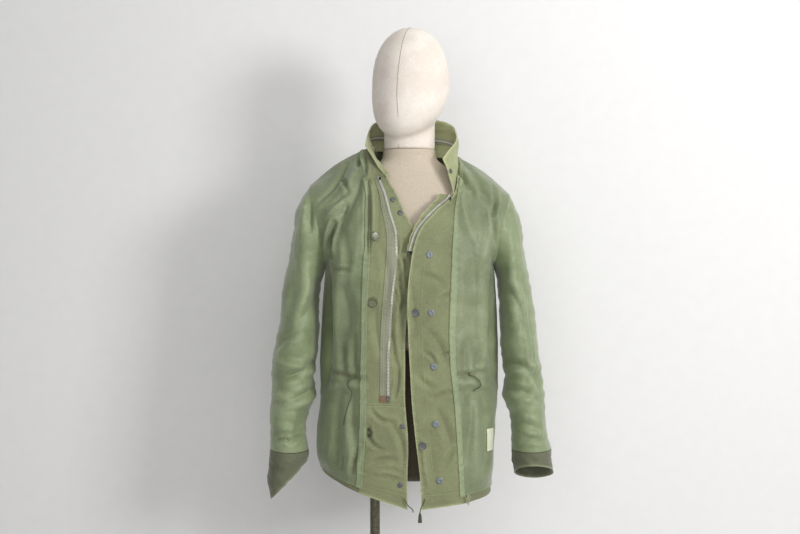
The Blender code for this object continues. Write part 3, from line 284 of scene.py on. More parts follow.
Armhole = namedtuple("Armhole", "shoulder_x shoulder_z underarm_x underarm_z depth inset")
ARMHOLE = {"right": Armhole(0.224, 1.430, 0.190, 1.262, 0.085, 0.008),
           "left": Armhole(-0.222, 1.450, -0.188, 1.262, 0.085, -0.006)}
UNDERARM_ROW = 7
TOP_ROW = 13
SHOULDER_RISE = 0.010
CROWN_ANGLE = 30
SHELL, LINING, GAP = 0.0012, 0.0010, 0.0003
print("rows", len(BACK_ROWS))

# %% [markdown]
# ## Smooth sheets through the sections
# A curve with slopes weighted by the spacing of its points passes through every section without
# overshooting where rows are close together. A sheet is such curves across, then along.

# %% Curves and sheets
def slopes(points):
    """Slope of the smooth curve at each point; points has shape (count, ..., 3)."""
    runs = np.linalg.norm(np.diff(points, axis=0), axis=-1, keepdims=True)
    rates = np.diff(points, axis=0) / np.maximum(runs, 1e-9)
    inner = (rates[:-1] * runs[1:] + rates[1:] * runs[:-1]) / (runs[:-1] + runs[1:])
    return np.concatenate([rates[:1], inner, rates[-1:]]), runs


def smooth(points, places):
    """Points of the smooth curve at places counted in points, for many places at once."""
    points, places = np.asarray(points, float), np.asarray(places, float)
    rates, runs = slopes(points)
    first = np.clip(np.floor(places).astype(int), 0, len(points) - 2)
    f = (places - first).reshape((-1,) + (1,) * (points.ndim - 1))
    start, end, run = points[first], points[first + 1], runs[first]
    return ((1 + 2 * f) * (1 - f) ** 2 * start + f * (1 - f) ** 2 * rates[first] * run
            + f * f * (3 - 2 * f) * end - f * f * (1 - f) * rates[first + 1] * run)


def armhole_point(side, phi):
    """Point on the armhole seam, 0 at the shoulder and 180 at the underarm, front positive."""
    a, turn = ARMHOLE[side], math.radians(phi)
    across = 0.5 + 0.5 * math.cos(turn)
    return np.array((a.underarm_x + (a.shoulder_x - a.underarm_x) * across - a.inset * math.sin(turn) ** 2,
                     -a.depth * math.sin(turn),
                     a.underarm_z + (a.shoulder_z - a.underarm_z) * across))


def front_controls(side):
    """Section points of a front: edge, facing seam, flank, side seam and one round the back."""
    sign = 1 if side == "right" else -1
    grid = []
    for index, (row, back) in enumerate(zip(FRONT_ROWS[side], BACK_ROWS)):
        sewn = index > UNDERARM_ROW
        edge = np.array((row.edge_x, row.edge_y, row.edge_z))
        end = armhole_point(side, row.phi) if sewn else np.array((row.side_x, 0.0, row.side_z))
        points = [edge]
        for x, y in ((row.seam_x, row.seam_y), (row.flank_x, row.flank_y)):
            share = (x - edge[0]) / (end[0] - edge[0])
            rise = SHOULDER_RISE * math.sin(math.pi * share) if row.phi < CROWN_ANGLE else 0.0
            points.append(np.array((x, y, edge[2] + (end[2] - edge[2]) * share + rise)))
        points.append(end)
        behind = np.array((sign * back.neck_x, back.neck_y, back.neck_z))
        points.append(2 * end - points[-2] if sewn else behind)
        grid.append(points)
    return np.array(grid)


def back_controls():
    """Section points of the back from the left side to the right, with one more round each end."""
    fronts = {side: front_controls(side) for side in FRONT_ROWS}
    grid = []
    for index, row in enumerate(BACK_ROWS):
        ends = []
        for side, sign in (("left", -1), ("right", 1)):
            neck = np.array((sign * row.neck_x, row.neck_y, row.neck_z))
            if index == TOP_ROW:
                neck = fronts[side][index][0]
            if index > UNDERARM_ROW:
                end = armhole_point(side, -FRONT_ROWS[side][index].phi)
                beyond = 2 * end - neck
            else:
                end, beyond = fronts[side][index][3], fronts[side][index][2]
            ends.append((beyond, end, neck))
        grid.append([*ends[0], np.array((0.0, row.centre_y, row.centre_z)), *reversed(ends[1])])
    return np.array(grid)


def sheet_points(controls, us, vs, first_column=0):
    """Grid of points, rows along vs and columns along us."""
    across = np.moveaxis(smooth(np.moveaxis(controls, 1, 0), np.asarray(us) + first_column), 0, 1)
    return smooth(across, vs)


def spread(stops, counts):
    """Even steps between stops, each stop kept exactly."""
    runs = [np.linspace(a, b, n, endpoint=False) for a, b, n in zip(stops, stops[1:], counts)]
    return np.round(np.concatenate([*runs, [stops[-1]]]), 6)


ROWS = spread((0, 0.25, 0.45, 3, 3.2, 12, 13), (6, 5, 66, 5, 160, 24))
COLUMNS = {"left": spread((0, 0.38, 0.43, 0.60, 1, 2, 3), (14, 2, 6, 14, 20, 26)),
           "right": spread((0, 1, 2, 3), (36, 20, 26)),
           "back": spread((0, 1, 2, 3, 4), (32, 24, 24, 32))}
print("grid rows", len(ROWS), "columns", {k: len(v) for k, v in COLUMNS.items()})

# %% [markdown]
# ## Creases placed one by one
# Worn cloth folds where it is pulled or has spare length: from the neck over the shoulder, into the
# armhole, at the waist cord, and at the elbows. Simulation would put them anywhere, so each is
# listed as a soft trough or ridge, with its own length, width and depth. A trough has low
# shoulders on both sides, because the cloth that it takes up has to come from somewhere.

# %% Crease tables, in metres; depth is negative for a trough
Crease = namedtuple("Crease", "x0 z0 x1 z1 bow width depth")
FRONT_CREASES = [Crease(*row) for row in (
    # left front: the fold beside the facing, then drag lines from the collar to the armhole
    (-0.091, 1.452, -0.092, 1.300, 0.004, 0.007, -0.0070),
    (-0.084, 1.440, -0.083, 1.330, 0.003, 0.008, 0.0035),
    (-0.100, 1.492, -0.160, 1.345, 0.012, 0.013, -0.0040),
    (-0.118, 1.482, -0.182, 1.372, 0.010, 0.012, 0.0040),
    (-0.130, 1.440, -0.150, 1.300, -0.010, 0.015, -0.0030),
    (-0.110, 1.400, -0.128, 1.240, 0.008, 0.016, 0.0030),
    (-0.163, 1.362, -0.172, 1.285, -0.005, 0.006, -0.0100),
    (-0.153, 1.330, -0.150, 1.235, 0.006, 0.010, 0.0030),
    (-0.139, 1.495, -0.203, 1.405, 0.010, 0.006, -0.0045),
    (-0.150, 1.462, -0.134, 1.430, 0.003, 0.006, -0.0045),
    (-0.134, 1.430, -0.172, 1.398, 0.003, 0.006, -0.0040),
    (-0.137, 1.405, -0.150, 1.375, 0.002, 0.006, -0.0035),
    (-0.112, 1.512, -0.114, 1.488, 0.001, 0.005, -0.0055),
    (-0.099, 1.510, -0.098, 1.462, 0.002, 0.005, -0.0055),
    (-0.168, 1.262, -0.130, 1.258, 0.002, 0.006, -0.0028),
    (-0.146, 1.222, -0.133, 1.125, 0.006, 0.017, -0.0050),
    (-0.180, 1.285, -0.181, 1.010, 0.000, 0.015, -0.0110),
    # left waist, gathered by its cord, and the skirt below
    (-0.098, 1.030, -0.178, 1.046, 0.004, 0.007, -0.0040),
    (-0.100, 1.014, -0.182, 1.004, -0.003, 0.009, 0.0030),
    (-0.112, 1.020, -0.118, 1.120, 0.004, 0.008, -0.0028),
    (-0.135, 1.020, -0.142, 1.100, 0.003, 0.007, -0.0030),
    (-0.122, 1.000, -0.115, 0.880, -0.006, 0.011, -0.0035),
    (-0.148, 1.004, -0.158, 0.850, -0.006, 0.014, -0.0040),
    (-0.135, 0.960, -0.132, 0.800, 0.006, 0.016, 0.0035),
    (-0.165, 0.960, -0.180, 0.840, 0.004, 0.013, 0.0030),
    # left facing and fly
    (-0.030, 1.330, -0.036, 1.180, 0.006, 0.006, -0.0035),
    (-0.036, 1.180, -0.030, 1.060, -0.005, 0.006, -0.0040),
    (-0.026, 1.060, -0.033, 0.990, 0.004, 0.005, -0.0035),
    (-0.012, 1.240, -0.004, 1.120, 0.005, 0.007, 0.0030),
    (-0.060, 1.310, -0.048, 1.200, 0.006, 0.009, -0.0022),
    (-0.072, 1.180, -0.060, 1.080, -0.006, 0.009, -0.0022),
    (-0.082, 0.962, -0.034, 0.938, -0.008, 0.006, -0.0032),
    (-0.088, 0.928, -0.060, 0.880, -0.012, 0.006, -0.0034),
    (-0.086, 0.848, -0.026, 0.856, 0.006, 0.007, -0.0032),
    (-0.040, 0.935, -0.014, 0.846, 0.010, 0.008, -0.0026),
    (-0.070, 0.830, -0.020, 0.822, 0.004, 0.006, 0.0024),
    (-0.112, 0.880, -0.125, 0.828, 0.002, 0.006, -0.0055),
    (-0.145, 0.868, -0.147, 0.838, 0.001, 0.006, -0.0045),
    (-0.012, 1.325, -0.020, 1.290, 0.004, 0.005, -0.0045),
    (-0.020, 1.290, -0.006, 1.262, 0.003, 0.005, -0.0045),
    (-0.020, 1.258, -0.014, 1.205, -0.004, 0.005, -0.0045),
    (-0.008, 1.225, -0.018, 1.176, 0.003, 0.005, -0.0040),
    # right front: folds fanning from the collar, then into the armhole
    (0.100, 1.484, 0.125, 1.440, 0.003, 0.006, -0.0060), (0.108, 1.494, 0.150, 1.425, 0.005, 0.008, 0.0045),
    (0.120, 1.480, 0.172, 1.407, 0.006, 0.010, -0.0038), (0.112, 1.440, 0.132, 1.330, -0.006, 0.012, 0.0035),
    (0.184, 1.437, 0.187, 1.417, 0.000, 0.006, -0.0045), (0.187, 1.417, 0.179, 1.379, 0.002, 0.006, -0.0055),
    (0.179, 1.379, 0.184, 1.314, 0.003, 0.007, -0.0050), (0.166, 1.400, 0.164, 1.290, 0.004, 0.011, 0.0035),
    (0.130, 1.330, 0.136, 1.090, 0.008, 0.018, -0.0030), (0.150, 1.280, 0.155, 1.080, -0.006, 0.015, 0.0028),
    (0.183, 1.285, 0.184, 1.020, 0.000, 0.014, -0.0090),
    # right waist and skirt
    (0.100, 1.036, 0.172, 1.044, -0.003, 0.007, -0.0036), (0.104, 1.018, 0.176, 1.010, 0.003, 0.009, 0.0028),
    (0.122, 1.020, 0.118, 1.110, 0.003, 0.008, -0.0026), (0.146, 1.020, 0.150, 1.095, 0.003, 0.008, -0.0028),
    (0.130, 1.000, 0.122, 0.860, 0.006, 0.013, -0.0035), (0.155, 1.000, 0.163, 0.840, 0.006, 0.014, -0.0038),
    (0.142, 0.960, 0.142, 0.800, -0.005, 0.015, 0.0034),
    # right facing
    (0.020, 1.250, 0.070, 1.230, 0.005, 0.008, -0.0020), (0.040, 1.130, 0.078, 1.060, 0.006, 0.010, -0.0022),
    (0.014, 1.040, 0.050, 1.010, -0.004, 0.008, -0.0022), (0.060, 0.960, 0.086, 0.880, 0.005, 0.010, -0.0024),
    (0.030, 0.900, 0.040, 0.800, -0.005, 0.010, 0.0024), (0.062, 1.195, 0.086, 1.211, 0.002, 0.005, -0.0030),
    (0.066, 1.074, 0.087, 1.084, 0.003, 0.005, -0.0034), (0.046, 0.988, 0.090, 1.001, 0.003, 0.006, -0.0030),
    (0.029, 1.087, 0.054, 1.066, 0.003, 0.005, -0.0028), (0.090, 0.876, 0.070, 0.846, 0.002, 0.007, -0.0036))]
BACK_CREASES = [Crease(*row) for row in (
    (-0.090, 1.500, -0.168, 1.360, 0.010, 0.012, -0.0040),
    (0.092, 1.488, 0.170, 1.345, -0.010, 0.012, -0.0040),
    (-0.060, 1.470, -0.120, 1.300, 0.008, 0.015, 0.0035), (0.070, 1.460, 0.126, 1.285, -0.010, 0.015, 0.0035),
    (-0.020, 1.480, -0.034, 1.260, 0.006, 0.018, -0.0030),
    (0.030, 1.470, 0.040, 1.230, -0.006, 0.018, -0.0028),
    (-0.150, 1.060, -0.020, 1.040, 0.006, 0.009, -0.0042),
    (0.010, 1.046, 0.150, 1.060, -0.005, 0.009, -0.0040),
    (-0.130, 1.030, 0.120, 1.024, 0.004, 0.009, 0.0028),
    (-0.110, 1.160, -0.020, 1.100, 0.008, 0.014, -0.0032),
    (0.020, 1.110, 0.124, 1.170, 0.008, 0.014, -0.0034),
    (-0.092, 1.010, -0.100, 0.830, 0.008, 0.014, -0.0038),
    (-0.030, 1.006, -0.022, 0.850, 0.006, 0.016, -0.0036),
    (0.044, 1.004, 0.052, 0.830, -0.006, 0.015, -0.0038),
    (0.108, 1.010, 0.120, 0.850, 0.006, 0.014, -0.0034), (-0.060, 0.960, -0.058, 0.800, 0.005, 0.018, 0.0034),
    (0.010, 0.970, 0.014, 0.790, 0.005, 0.018, 0.0030), (0.082, 0.960, 0.086, 0.800, 0.005, 0.017, 0.0034))]
SLEEVE_CREASES = {
    "left": [Crease(*row) for row in (
        (-0.206, 1.425, -0.214, 1.345, -0.006, 0.008, -0.0042),
        (-0.226, 1.430, -0.238, 1.340, 0.004, 0.010, 0.0036),
        (-0.200, 1.230, -0.240, 1.150, 0.012, 0.013, -0.0040),
        (-0.258, 1.300, -0.270, 1.130, 0.008, 0.015, -0.0032),
        (-0.222, 1.260, -0.240, 1.180, 0.008, 0.014, 0.0034),
        (-0.206, 1.062, -0.292, 1.026, 0.010, 0.010, -0.0058),
        (-0.210, 1.034, -0.296, 1.056, -0.008, 0.011, 0.0046),
        (-0.208, 1.004, -0.290, 0.976, 0.010, 0.010, -0.0056),
        (-0.222, 0.972, -0.300, 0.994, 0.006, 0.011, 0.0040),
        (-0.250, 1.120, -0.296, 1.084, -0.006, 0.010, -0.0038),
        (-0.292, 0.890, -0.270, 0.894, 0.002, 0.006, -0.0046),
        (-0.270, 0.894, -0.258, 0.887, 0.002, 0.006, -0.0050),
        (-0.258, 0.887, -0.236, 0.898, 0.002, 0.006, -0.0042),
        (-0.296, 0.920, -0.240, 0.908, 0.004, 0.009, 0.0036),
        (-0.236, 0.950, -0.252, 0.900, 0.006, 0.009, -0.0030))],
    "right": [Crease(*row) for row in (
        (0.222, 1.412, 0.214, 1.396, 0.002, 0.007, -0.0044),
        (0.214, 1.396, 0.212, 1.350, 0.002, 0.008, -0.0042),
        (0.236, 1.400, 0.244, 1.310, 0.004, 0.011, 0.0036),
        (0.205, 1.222, 0.246, 1.140, 0.012, 0.013, -0.0042),
        (0.262, 1.195, 0.284, 0.980, -0.006, 0.009, -0.0040),
        (0.249, 1.190, 0.266, 1.000, 0.008, 0.010, 0.0036),
        (0.238, 1.262, 0.258, 1.120, 0.008, 0.013, -0.0032),
        (0.212, 1.060, 0.280, 1.020, 0.010, 0.010, -0.0052),
        (0.216, 1.032, 0.290, 1.050, 0.008, 0.011, 0.0042),
        (0.212, 1.000, 0.286, 0.972, 0.010, 0.010, -0.0050),
        (0.230, 0.966, 0.298, 0.990, 0.006, 0.010, 0.0036),
        (0.234, 0.930, 0.290, 0.906, 0.006, 0.010, -0.0044),
        (0.246, 0.896, 0.300, 0.888, 0.004, 0.008, -0.0042))]}
SHOULDER_SHARE = 0.35       # height of a fold's raised sides, as a share of its depth
FOLD_GAIN = 1.55
FOLD_WIDTH = 0.82
FOLD_CRISPNESS, FOLD_ROUND = 1.8, 0.3       # how sharp a fold's line is, in fold widths
SHOULDER_PLACE, SHOULDER_WIDTH = 1.9, 0.8   # of the raised sides, in fold widths
END_CUT, END_POWER = 0.07, 0.7              # of the half wave that a fold's depth follows


def creased(points, creases):
    """Height at each point made by creases, measured in the upright plane of x and z."""
    flat = points[..., (0, 2)]
    height = np.zeros(flat.shape[:-1])
    for crease in creases:
        start, end = np.array((crease.x0, crease.z0)), np.array((crease.x1, crease.z1))
        run = end - start
        aside = np.array((-run[1], run[0])) / np.linalg.norm(run)
        along = np.clip((flat - start) @ run / np.dot(run, run), 0, 1)
        spot = start + run * along[..., None] + aside * (crease.bow * np.sin(np.pi * along))[..., None]
        nearest = np.linalg.norm(flat - spot, axis=-1)
        inside = np.clip(along * (1 - 2 * END_CUT) + END_CUT, 0, 1)
        fade = np.sin(np.pi * inside) ** END_POWER
        d = nearest / (crease.width * FOLD_WIDTH)
        crisp = np.exp(FOLD_CRISPNESS * (FOLD_ROUND - np.sqrt(d * d + FOLD_ROUND ** 2)))
        raised = SHOULDER_SHARE * np.exp(-((d - SHOULDER_PLACE) / SHOULDER_WIDTH) ** 2)
        height += FOLD_GAIN * crease.depth * fade * (crisp - raised)
    return height


print("creases", len(FRONT_CREASES) + len(BACK_CREASES) + sum(len(c) for c in SLEEVE_CREASES.values()))

# %% [markdown]
# ## One sheet for each panel
# Every layer on a panel is cut from the same creased sheet and moved out along its normals, so
# a zip tape follows each fold of the facing under it. Heights fade to nothing at the side seams,
# armholes and shoulders, where the next piece takes over.

# %% The panel class
SEAM_FADE = 0.010           # metres over which a fold dies out at a seam
SEAM_REACH, EDGE_REACH = 0.009, 0.012       # of the puckering beside a seam and an edge
SEAM_RISE = 0.0012          # of the layers turned in at the facing seam
PUCKER_WAVES = 5
FAR = 9.0                   # metres, further than any edge


def arc_lengths(points, axis):
    steps = np.linalg.norm(np.diff(points, axis=axis), axis=-1)
    start = np.zeros_like(np.take(steps, [0], axis=axis))
    return np.cumsum(np.concatenate([start, steps], axis=axis), axis=axis)


def grid_normals(points, sign):
    normals = np.cross(np.gradient(points, axis=1), np.gradient(points, axis=0)) * sign
    return normals / np.maximum(np.linalg.norm(normals, axis=-1, keepdims=True), 1e-9)


class Sheet:
    """A creased sheet on a grid of lines, from which layers are cut."""

    def __init__(self, us, vs, points, sign, heights):
        self.us, self.vs, self.sign = list(us), list(vs), sign
        self.heights = heights
        self.points = points + grid_normals(points, sign) * heights[..., None]
        self.normals = grid_normals(self.points, sign)

    def cut(self, u_range, v_range, stride=1):
        """Points, normals and heights between lines, and the lines kept."""
        columns = [j for j, u in enumerate(self.us) if u_range[0] - 1e-6 <= u <= u_range[1] + 1e-6]
        rows = [i for i, v in enumerate(self.vs) if v_range[0] - 1e-6 <= v <= v_range[1] + 1e-6]
        columns = sorted(set(columns[::stride] + columns[-1:]))
        rows = sorted(set(rows[::stride] + rows[-1:]))
        pick = np.ix_(rows, columns)
        return self.points[pick], self.normals[pick], self.heights[pick]

    def at(self, u, v, out=0.0):
        """Point and normal at (u, v), out above the sheet."""
        j = min(max(int(np.searchsorted(self.us, u, "right")) - 1, 0), len(self.us) - 2)
        i = min(max(int(np.searchsorted(self.vs, v, "right")) - 1, 0), len(self.vs) - 2)
        s = (u - self.us[j]) / (self.us[j + 1] - self.us[j])
        t = (v - self.vs[i]) / (self.vs[i + 1] - self.vs[i])
        point, normal = (
            (1 - s) * (1 - t) * g[i, j] + s * (1 - t) * g[i, j + 1] + (1 - s) * t * g[i + 1, j]
            + s * t * g[i + 1, j + 1] for g in (self.points, self.normals))
        normal = normal / np.linalg.norm(normal)
        return point + normal * out, normal


def seam_fade(points, columns):
    """1 inside the sheet, falling to 0 at the named border columns."""
    across = arc_lengths(points, 1)
    fade = np.ones(points.shape[:2])
    for column in columns:
        distance = np.abs(across - across[:, column][:, None])
        fade *= 1 - np.exp(-(distance / SEAM_FADE) ** 2)
    return fade


def top_fade(points):
    down = arc_lengths(points, 0)
    return 1 - np.exp(-((down[-1:] - down) / SEAM_FADE) ** 2)


def puckers(points, amount, length, seed):
    """Small uneven waves that a washed seam draws the cloth into."""
    draw = np.random.default_rng(seed)
    height = np.zeros(points.shape[:2])
    for _ in range(PUCKER_WAVES):
        turn, phase = draw.uniform(-0.9, 0.9), draw.uniform(0, 6.28)
        place = points[..., 2] * math.cos(turn) + points[..., 0] * math.sin(turn)
        wave = place / (length * draw.uniform(0.6, 1.7))
        height += np.sin(wave * 2 * math.pi + phase)
    return height * amount / PUCKER_WAVES


SHEETS = {}
for side, sign in (("right", 1), ("left", -1)):
    base = sheet_points(front_controls(side), COLUMNS[side], ROWS)
    across = arc_lengths(base, 1)
    seam_column = list(COLUMNS[side]).index(1)
    by_seam = np.exp(-((across - across[:, seam_column][:, None]) / SEAM_REACH) ** 2)
    by_edge = np.exp(-(across / EDGE_REACH) ** 2)
    heights = creased(base, FRONT_CREASES) + puckers(base, 0.0010, 0.045, 3)
    heights += (0.3 + by_seam + by_edge) * puckers(base, 0.0011, 0.013, 11 if side == "left" else 12)
    heights = heights * seam_fade(base, [-1]) * top_fade(base) + by_seam * SEAM_RISE
    SHEETS[side] = Sheet(COLUMNS[side], ROWS, base, sign, heights)

back_base = sheet_points(back_controls(), COLUMNS["back"], ROWS, 1)
BACK_TO_FRONT = {0: 3, 0.25: 2.5, 0.5: 2, 0.75: 1.5, 0.92: 1, 1: 0}
shoulder = back_base[-1].copy()
for j, u in enumerate(COLUMNS["back"]):
    if u <= 1 or u >= 3:
        side = "left" if u <= 1 else "right"
        matching = float(np.interp(u if u <= 1 else 4 - u, list(BACK_TO_FRONT), list(BACK_TO_FRONT.values())))
        shoulder[j] = sheet_points(front_controls(side), [matching], [TOP_ROW])[0, 0]
blend = np.clip(ROWS - (TOP_ROW - 1), 0, 1)[:, None, None] ** 2
back_base = back_base + (shoulder - back_base[-1]) * blend
heights = (creased(back_base, BACK_CREASES) + puckers(back_base, 0.0012, 0.05, 21)
           + puckers(back_base, 0.0004, 0.014, 22))
heights = heights * seam_fade(back_base, [0, -1]) * top_fade(back_base)
SHEETS["back"] = Sheet(COLUMNS["back"], ROWS, back_base, -1, heights)
print("sheets", {k: s.points.shape[:2] for k, s in SHEETS.items()})

# %% [markdown]
# ## The cords come next
# Four short drawcord ends show: one from each side of the waist casing and one from each side of
# the hem. They hang from their eyelets down the cloth, free at the far end. Each route is a few
# given places, smoothed, so a cord bends as one length of braid.

# %% Drawcord ends
CORD_DIAMETER = 0.0022
CORD_STEP = 0.0025
WAIST_CORDS = {             # places on a front: line across, line up, height above it
    "left": ((1.30, 3.76, 0.0021), (1.33, 3.70, 0.0036), (1.40, 3.64, 0.0048), (1.45, 3.56, 0.0050),
             (1.43, 3.46, 0.0044), (1.38, 3.36, 0.0038), (1.37, 3.22, 0.0034), (1.42, 3.05, 0.0034),
             (1.47, 2.88, 0.0034), (1.50, 2.70, 0.0034), (1.52, 2.52, 0.0034), (1.53, 2.36, 0.0034)),
    "right": ((1.50, 3.88, 0.0021), (1.52, 3.80, 0.0036), (1.58, 3.72, 0.0048), (1.66, 3.64, 0.0052),
              (1.74, 3.55, 0.0052), (1.76, 3.47, 0.0048), (1.70, 3.41, 0.0044), (1.62, 3.37, 0.0038),
              (1.57, 3.30, 0.0034))}
HEM_CORDS = {
    "left": ((-0.0130, -0.1360, 0.7765), (-0.0105, -0.1369, 0.7725), (-0.0075, -0.1374, 0.7680),
             (-0.0045, -0.1378, 0.7630), (-0.0010, -0.1380, 0.7590), (0.0030, -0.1378, 0.7560),
             (0.0060, -0.1374, 0.7520), (0.0070, -0.1372, 0.7475)),
    "right": ((0.0310, -0.1378, 0.7760), (0.0302, -0.1384, 0.7710), (0.0280, -0.1388, 0.7655),
              (0.0250, -0.1390, 0.7605), (0.0228, -0.1388, 0.7550), (0.0218, -0.1386, 0.7500),
              (0.0214, -0.1384, 0.7465))}


def braided_cord(name, node, route):
    route = np.array(route)
    runs = np.linalg.norm(np.diff(route, axis=0), axis=1)
    reached = np.concatenate([[0.0], np.cumsum(runs)])
    count = max(12, round(reached[-1] / CORD_STEP))
    places = np.interp(np.linspace(0, reached[-1], count), reached, range(len(route)))
    points = smooth(route, places)
    curve = bpy.data.curves.new(name, "CURVE")
    curve.dimensions = "3D"
    curve.bevel_depth = CORD_DIAMETER / 2
    curve.bevel_resolution = 4
    curve.use_fill_caps = True
    spline = curve.splines.new("POLY")
    spline.points.add(count - 1)
    for point, place in zip(spline.points, points):
        point.co = (*place, 1.0)
    obj = bpy.data.objects.new(name, curve)
    bpy.context.collection.objects.link(obj)
    curve.materials.append(CORD_COTTON)
    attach(obj, BODY)
    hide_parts(node)
    return obj


for side, places in WAIST_CORDS.items():
    braided_cord(f"waist_cord_{side}_braid", f"waist_cord_{side}",
                 [SHEETS[side].at(*place)[0] for place in places])
braided_cord("hem_cord_left_braid", "hem_cord_left", HEM_CORDS["left"])
braided_cord("hem_cord_right_braid", "hem_cord_right", HEM_CORDS["right"])

# %% [markdown]
# ## Cutting a layer
# A layer is a closed wall: an outer face, an inner face a millimetre or two behind, and a rim all
# round.
# Cloth is turned under at a sewn edge, so the wall is given a welt there, a little thicker, and
# the edges given as pale are rubbed pale. The two faces share one UV map in metres, which carries the weave.

# %% Closed walls and the layers cut from sheets
WELT = 0.0007
WELT_WIDTH = 0.0035
RUBBED_WIDTH = 0.0024       # of the pale line along a worn edge
RIDGE_WEAR = 40             # wear for each metre that a fold stands up
CLOTH_CREASE = 60           # degrees, shaded sharp above


def wall(name, points, normals, thickness, material, wear, closed=False):
    """A closed wall; closed joins the last column to the first."""
    rows, columns = points.shape[:2]
    size = rows * columns
    across, along = arc_lengths(points, 1), arc_lengths(points, 0)
    index = np.arange(size).reshape(rows, columns)
    if closed:
        index = np.concatenate([index, index[:, :1]], axis=1)
    a, b, c, d = index[:-1, :-1], index[:-1, 1:], index[1:, 1:], index[1:, :-1]
    outer = np.stack([a, b, c, d], -1).reshape(-1, 4)
    inner = outer[:, ::-1] + size
    rims = [(index[0, :-1], index[0, 1:], True), (index[-1, :-1], index[-1, 1:], False)]
    if not closed:
        rims += [(index[:-1, 0], index[1:, 0], False), (index[:-1, -1], index[1:, -1], True)]
    faces = [outer, inner]
    for p, q, turned_over in rims:
        strip = np.stack([p, p + size, q + size, q], -1)
        faces.append(strip if turned_over else strip[:, ::-1])
    faces = np.concatenate(faces)
    every = np.concatenate([points.reshape(-1, 3), (points - normals * thickness).reshape(-1, 3)])
    p0, p1, p2, p3 = (every[faces[:, k]] for k in range(4))
    volume = (np.einsum("ij,ij->i", p0, np.cross(p1, p2)) + np.einsum("ij,ij->i", p0, np.cross(p2, p3))).sum()
    if volume < 0:
        faces = faces[:, ::-1]
    mesh = bpy.data.meshes.new(name)
    mesh.from_pydata(every.tolist(), [], faces.tolist())
    mesh.update()
    uv = mesh.uv_layers.new(name="cloth")
    flat = np.stack([across.reshape(-1), along.reshape(-1)], -1)
    flat = np.concatenate([flat, flat])
    uv.data.foreach_set("uv", flat[faces.reshape(-1)].reshape(-1))
    rubbed = mesh.attributes.new("wear", "FLOAT", "POINT")
    rubbed.data.foreach_set("value", np.concatenate([wear.reshape(-1)] * 2))
    mesh.shade_smooth()
    mesh.set_sharp_from_angle(angle=math.radians(CLOTH_CREASE))
    mesh.materials.append(material)
    obj = bpy.data.objects.new(name, mesh)
    bpy.context.collection.objects.link(obj)
    return obj


def edge_distance(points, edges):
    """Distance in metres from the named edges: left, right, bottom, top."""
    across, along = arc_lengths(points, 1), arc_lengths(points, 0)
    each = {"left": across, "right": across[:, -1:] - across, "bottom": along, "top": along[-1:] - along}
    distance = np.full(points.shape[:2], FAR)
    for edge in edges:
        distance = np.minimum(distance, each[edge])
    return distance


def layer(name, node, sheet, u_range, v_range, out, thickness, material, welted=(), worn=0.25,
          stride=1, pale=()):
    """A wall cut from a sheet; welted edges are turned under, and pale ones have rubbed."""
    points, normals, heights = sheet.cut(u_range, v_range, stride)
    welt = np.exp(-(edge_distance(points, welted) / WELT_WIDTH) ** 2)
    rubbed = np.exp(-(edge_distance(points, pale) / RUBBED_WIDTH) ** 2)
    wear = np.clip(worn * 0.4 + rubbed + np.clip(heights, 0, None) * RIDGE_WEAR, 0, 1)
    raised = points + normals * (out + WELT * welt)[..., None]
    obj = wall(name, raised, normals, thickness, material, wear)
    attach(obj, BODY)
    if node:
        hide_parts(node)
    return obj


# %% [markdown]
# ## Fronts and back
# From inside out: the olive shell lies against the form, and over it the green lining, the sateen
# facings down each front edge, and the turned-up hem. The lining stops short of the hem.

# %% The body's layers
for side in ("left", "right"):
    sheet = SHEETS[side]
    layer(f"shell_front_{side}_cloth", f"shell_front_{side}", sheet, (0, 3), (0, 13), -LINING - GAP, SHELL,
          INNER_SATEEN, ("bottom",), stride=2)
    layer(f"lining_front_{side}_cloth", f"lining_front_{side}", sheet, (1, 3), (0.25, 13), 0.0, LINING,
          LINING_CLOTH, ("bottom",), 0.05)
    layer(f"hem_band_{side}_cloth", f"hem_band_{side}", sheet, (0, 1), (0, 0.45), 0.0, LINING, SATEEN,
          ("bottom", "top"), 0.3,
          pale=("bottom", "left"))
    layer(f"seam_welt_{side}_cloth", None, sheet, (0.94, 1.11), (0.25, 13), LINING + GAP, LINING, WELT_CLOTH,
          ("left", "right"), 0.1)
layer("facing_right_cloth", "facing_right", SHEETS["right"], (0, 1), (0.45, 13), 0.0, LINING, SATEEN,
      ("left", "right"), pale=("left",))
layer("facing_left_lower_cloth", "facing_left_lower", SHEETS["left"], (0, 1), (0.45, 3), 0.0, LINING, SATEEN,
      ("left", "right", "top"), pale=("left",))
layer("facing_left_cloth", "facing_left", SHEETS["left"], (0.38, 1), (3, 13), 0.0, LINING, SATEEN,
      ("right",))
layer("fly_left_cloth", "fly_left", SHEETS["left"], (0, 0.38), (3, 12), 0.0, LINING, SATEEN,
      ("left",), pale=("left",))
layer("shell_back_cloth", "shell_back", SHEETS["back"], (0, 4), (0, 13), -LINING - GAP, SHELL, INNER_SATEEN,
      ("bottom",), stride=2)
layer("lining_back_cloth", "lining_back", SHEETS["back"], (0, 4), (0.25, 13), 0.0, LINING, LINING_CLOTH,
      ("bottom",), 0.05)

# %% [markdown]
# ## Sleeves
# Each sleeve is a tube of two pieces, a wide upper and a narrower under piece, sewn into the
# armhole. They hang empty, so they flatten a little and fold where they bend at the elbow. Angle 0
# is the outer line of the tube, 90 its front and 180 its inner line.

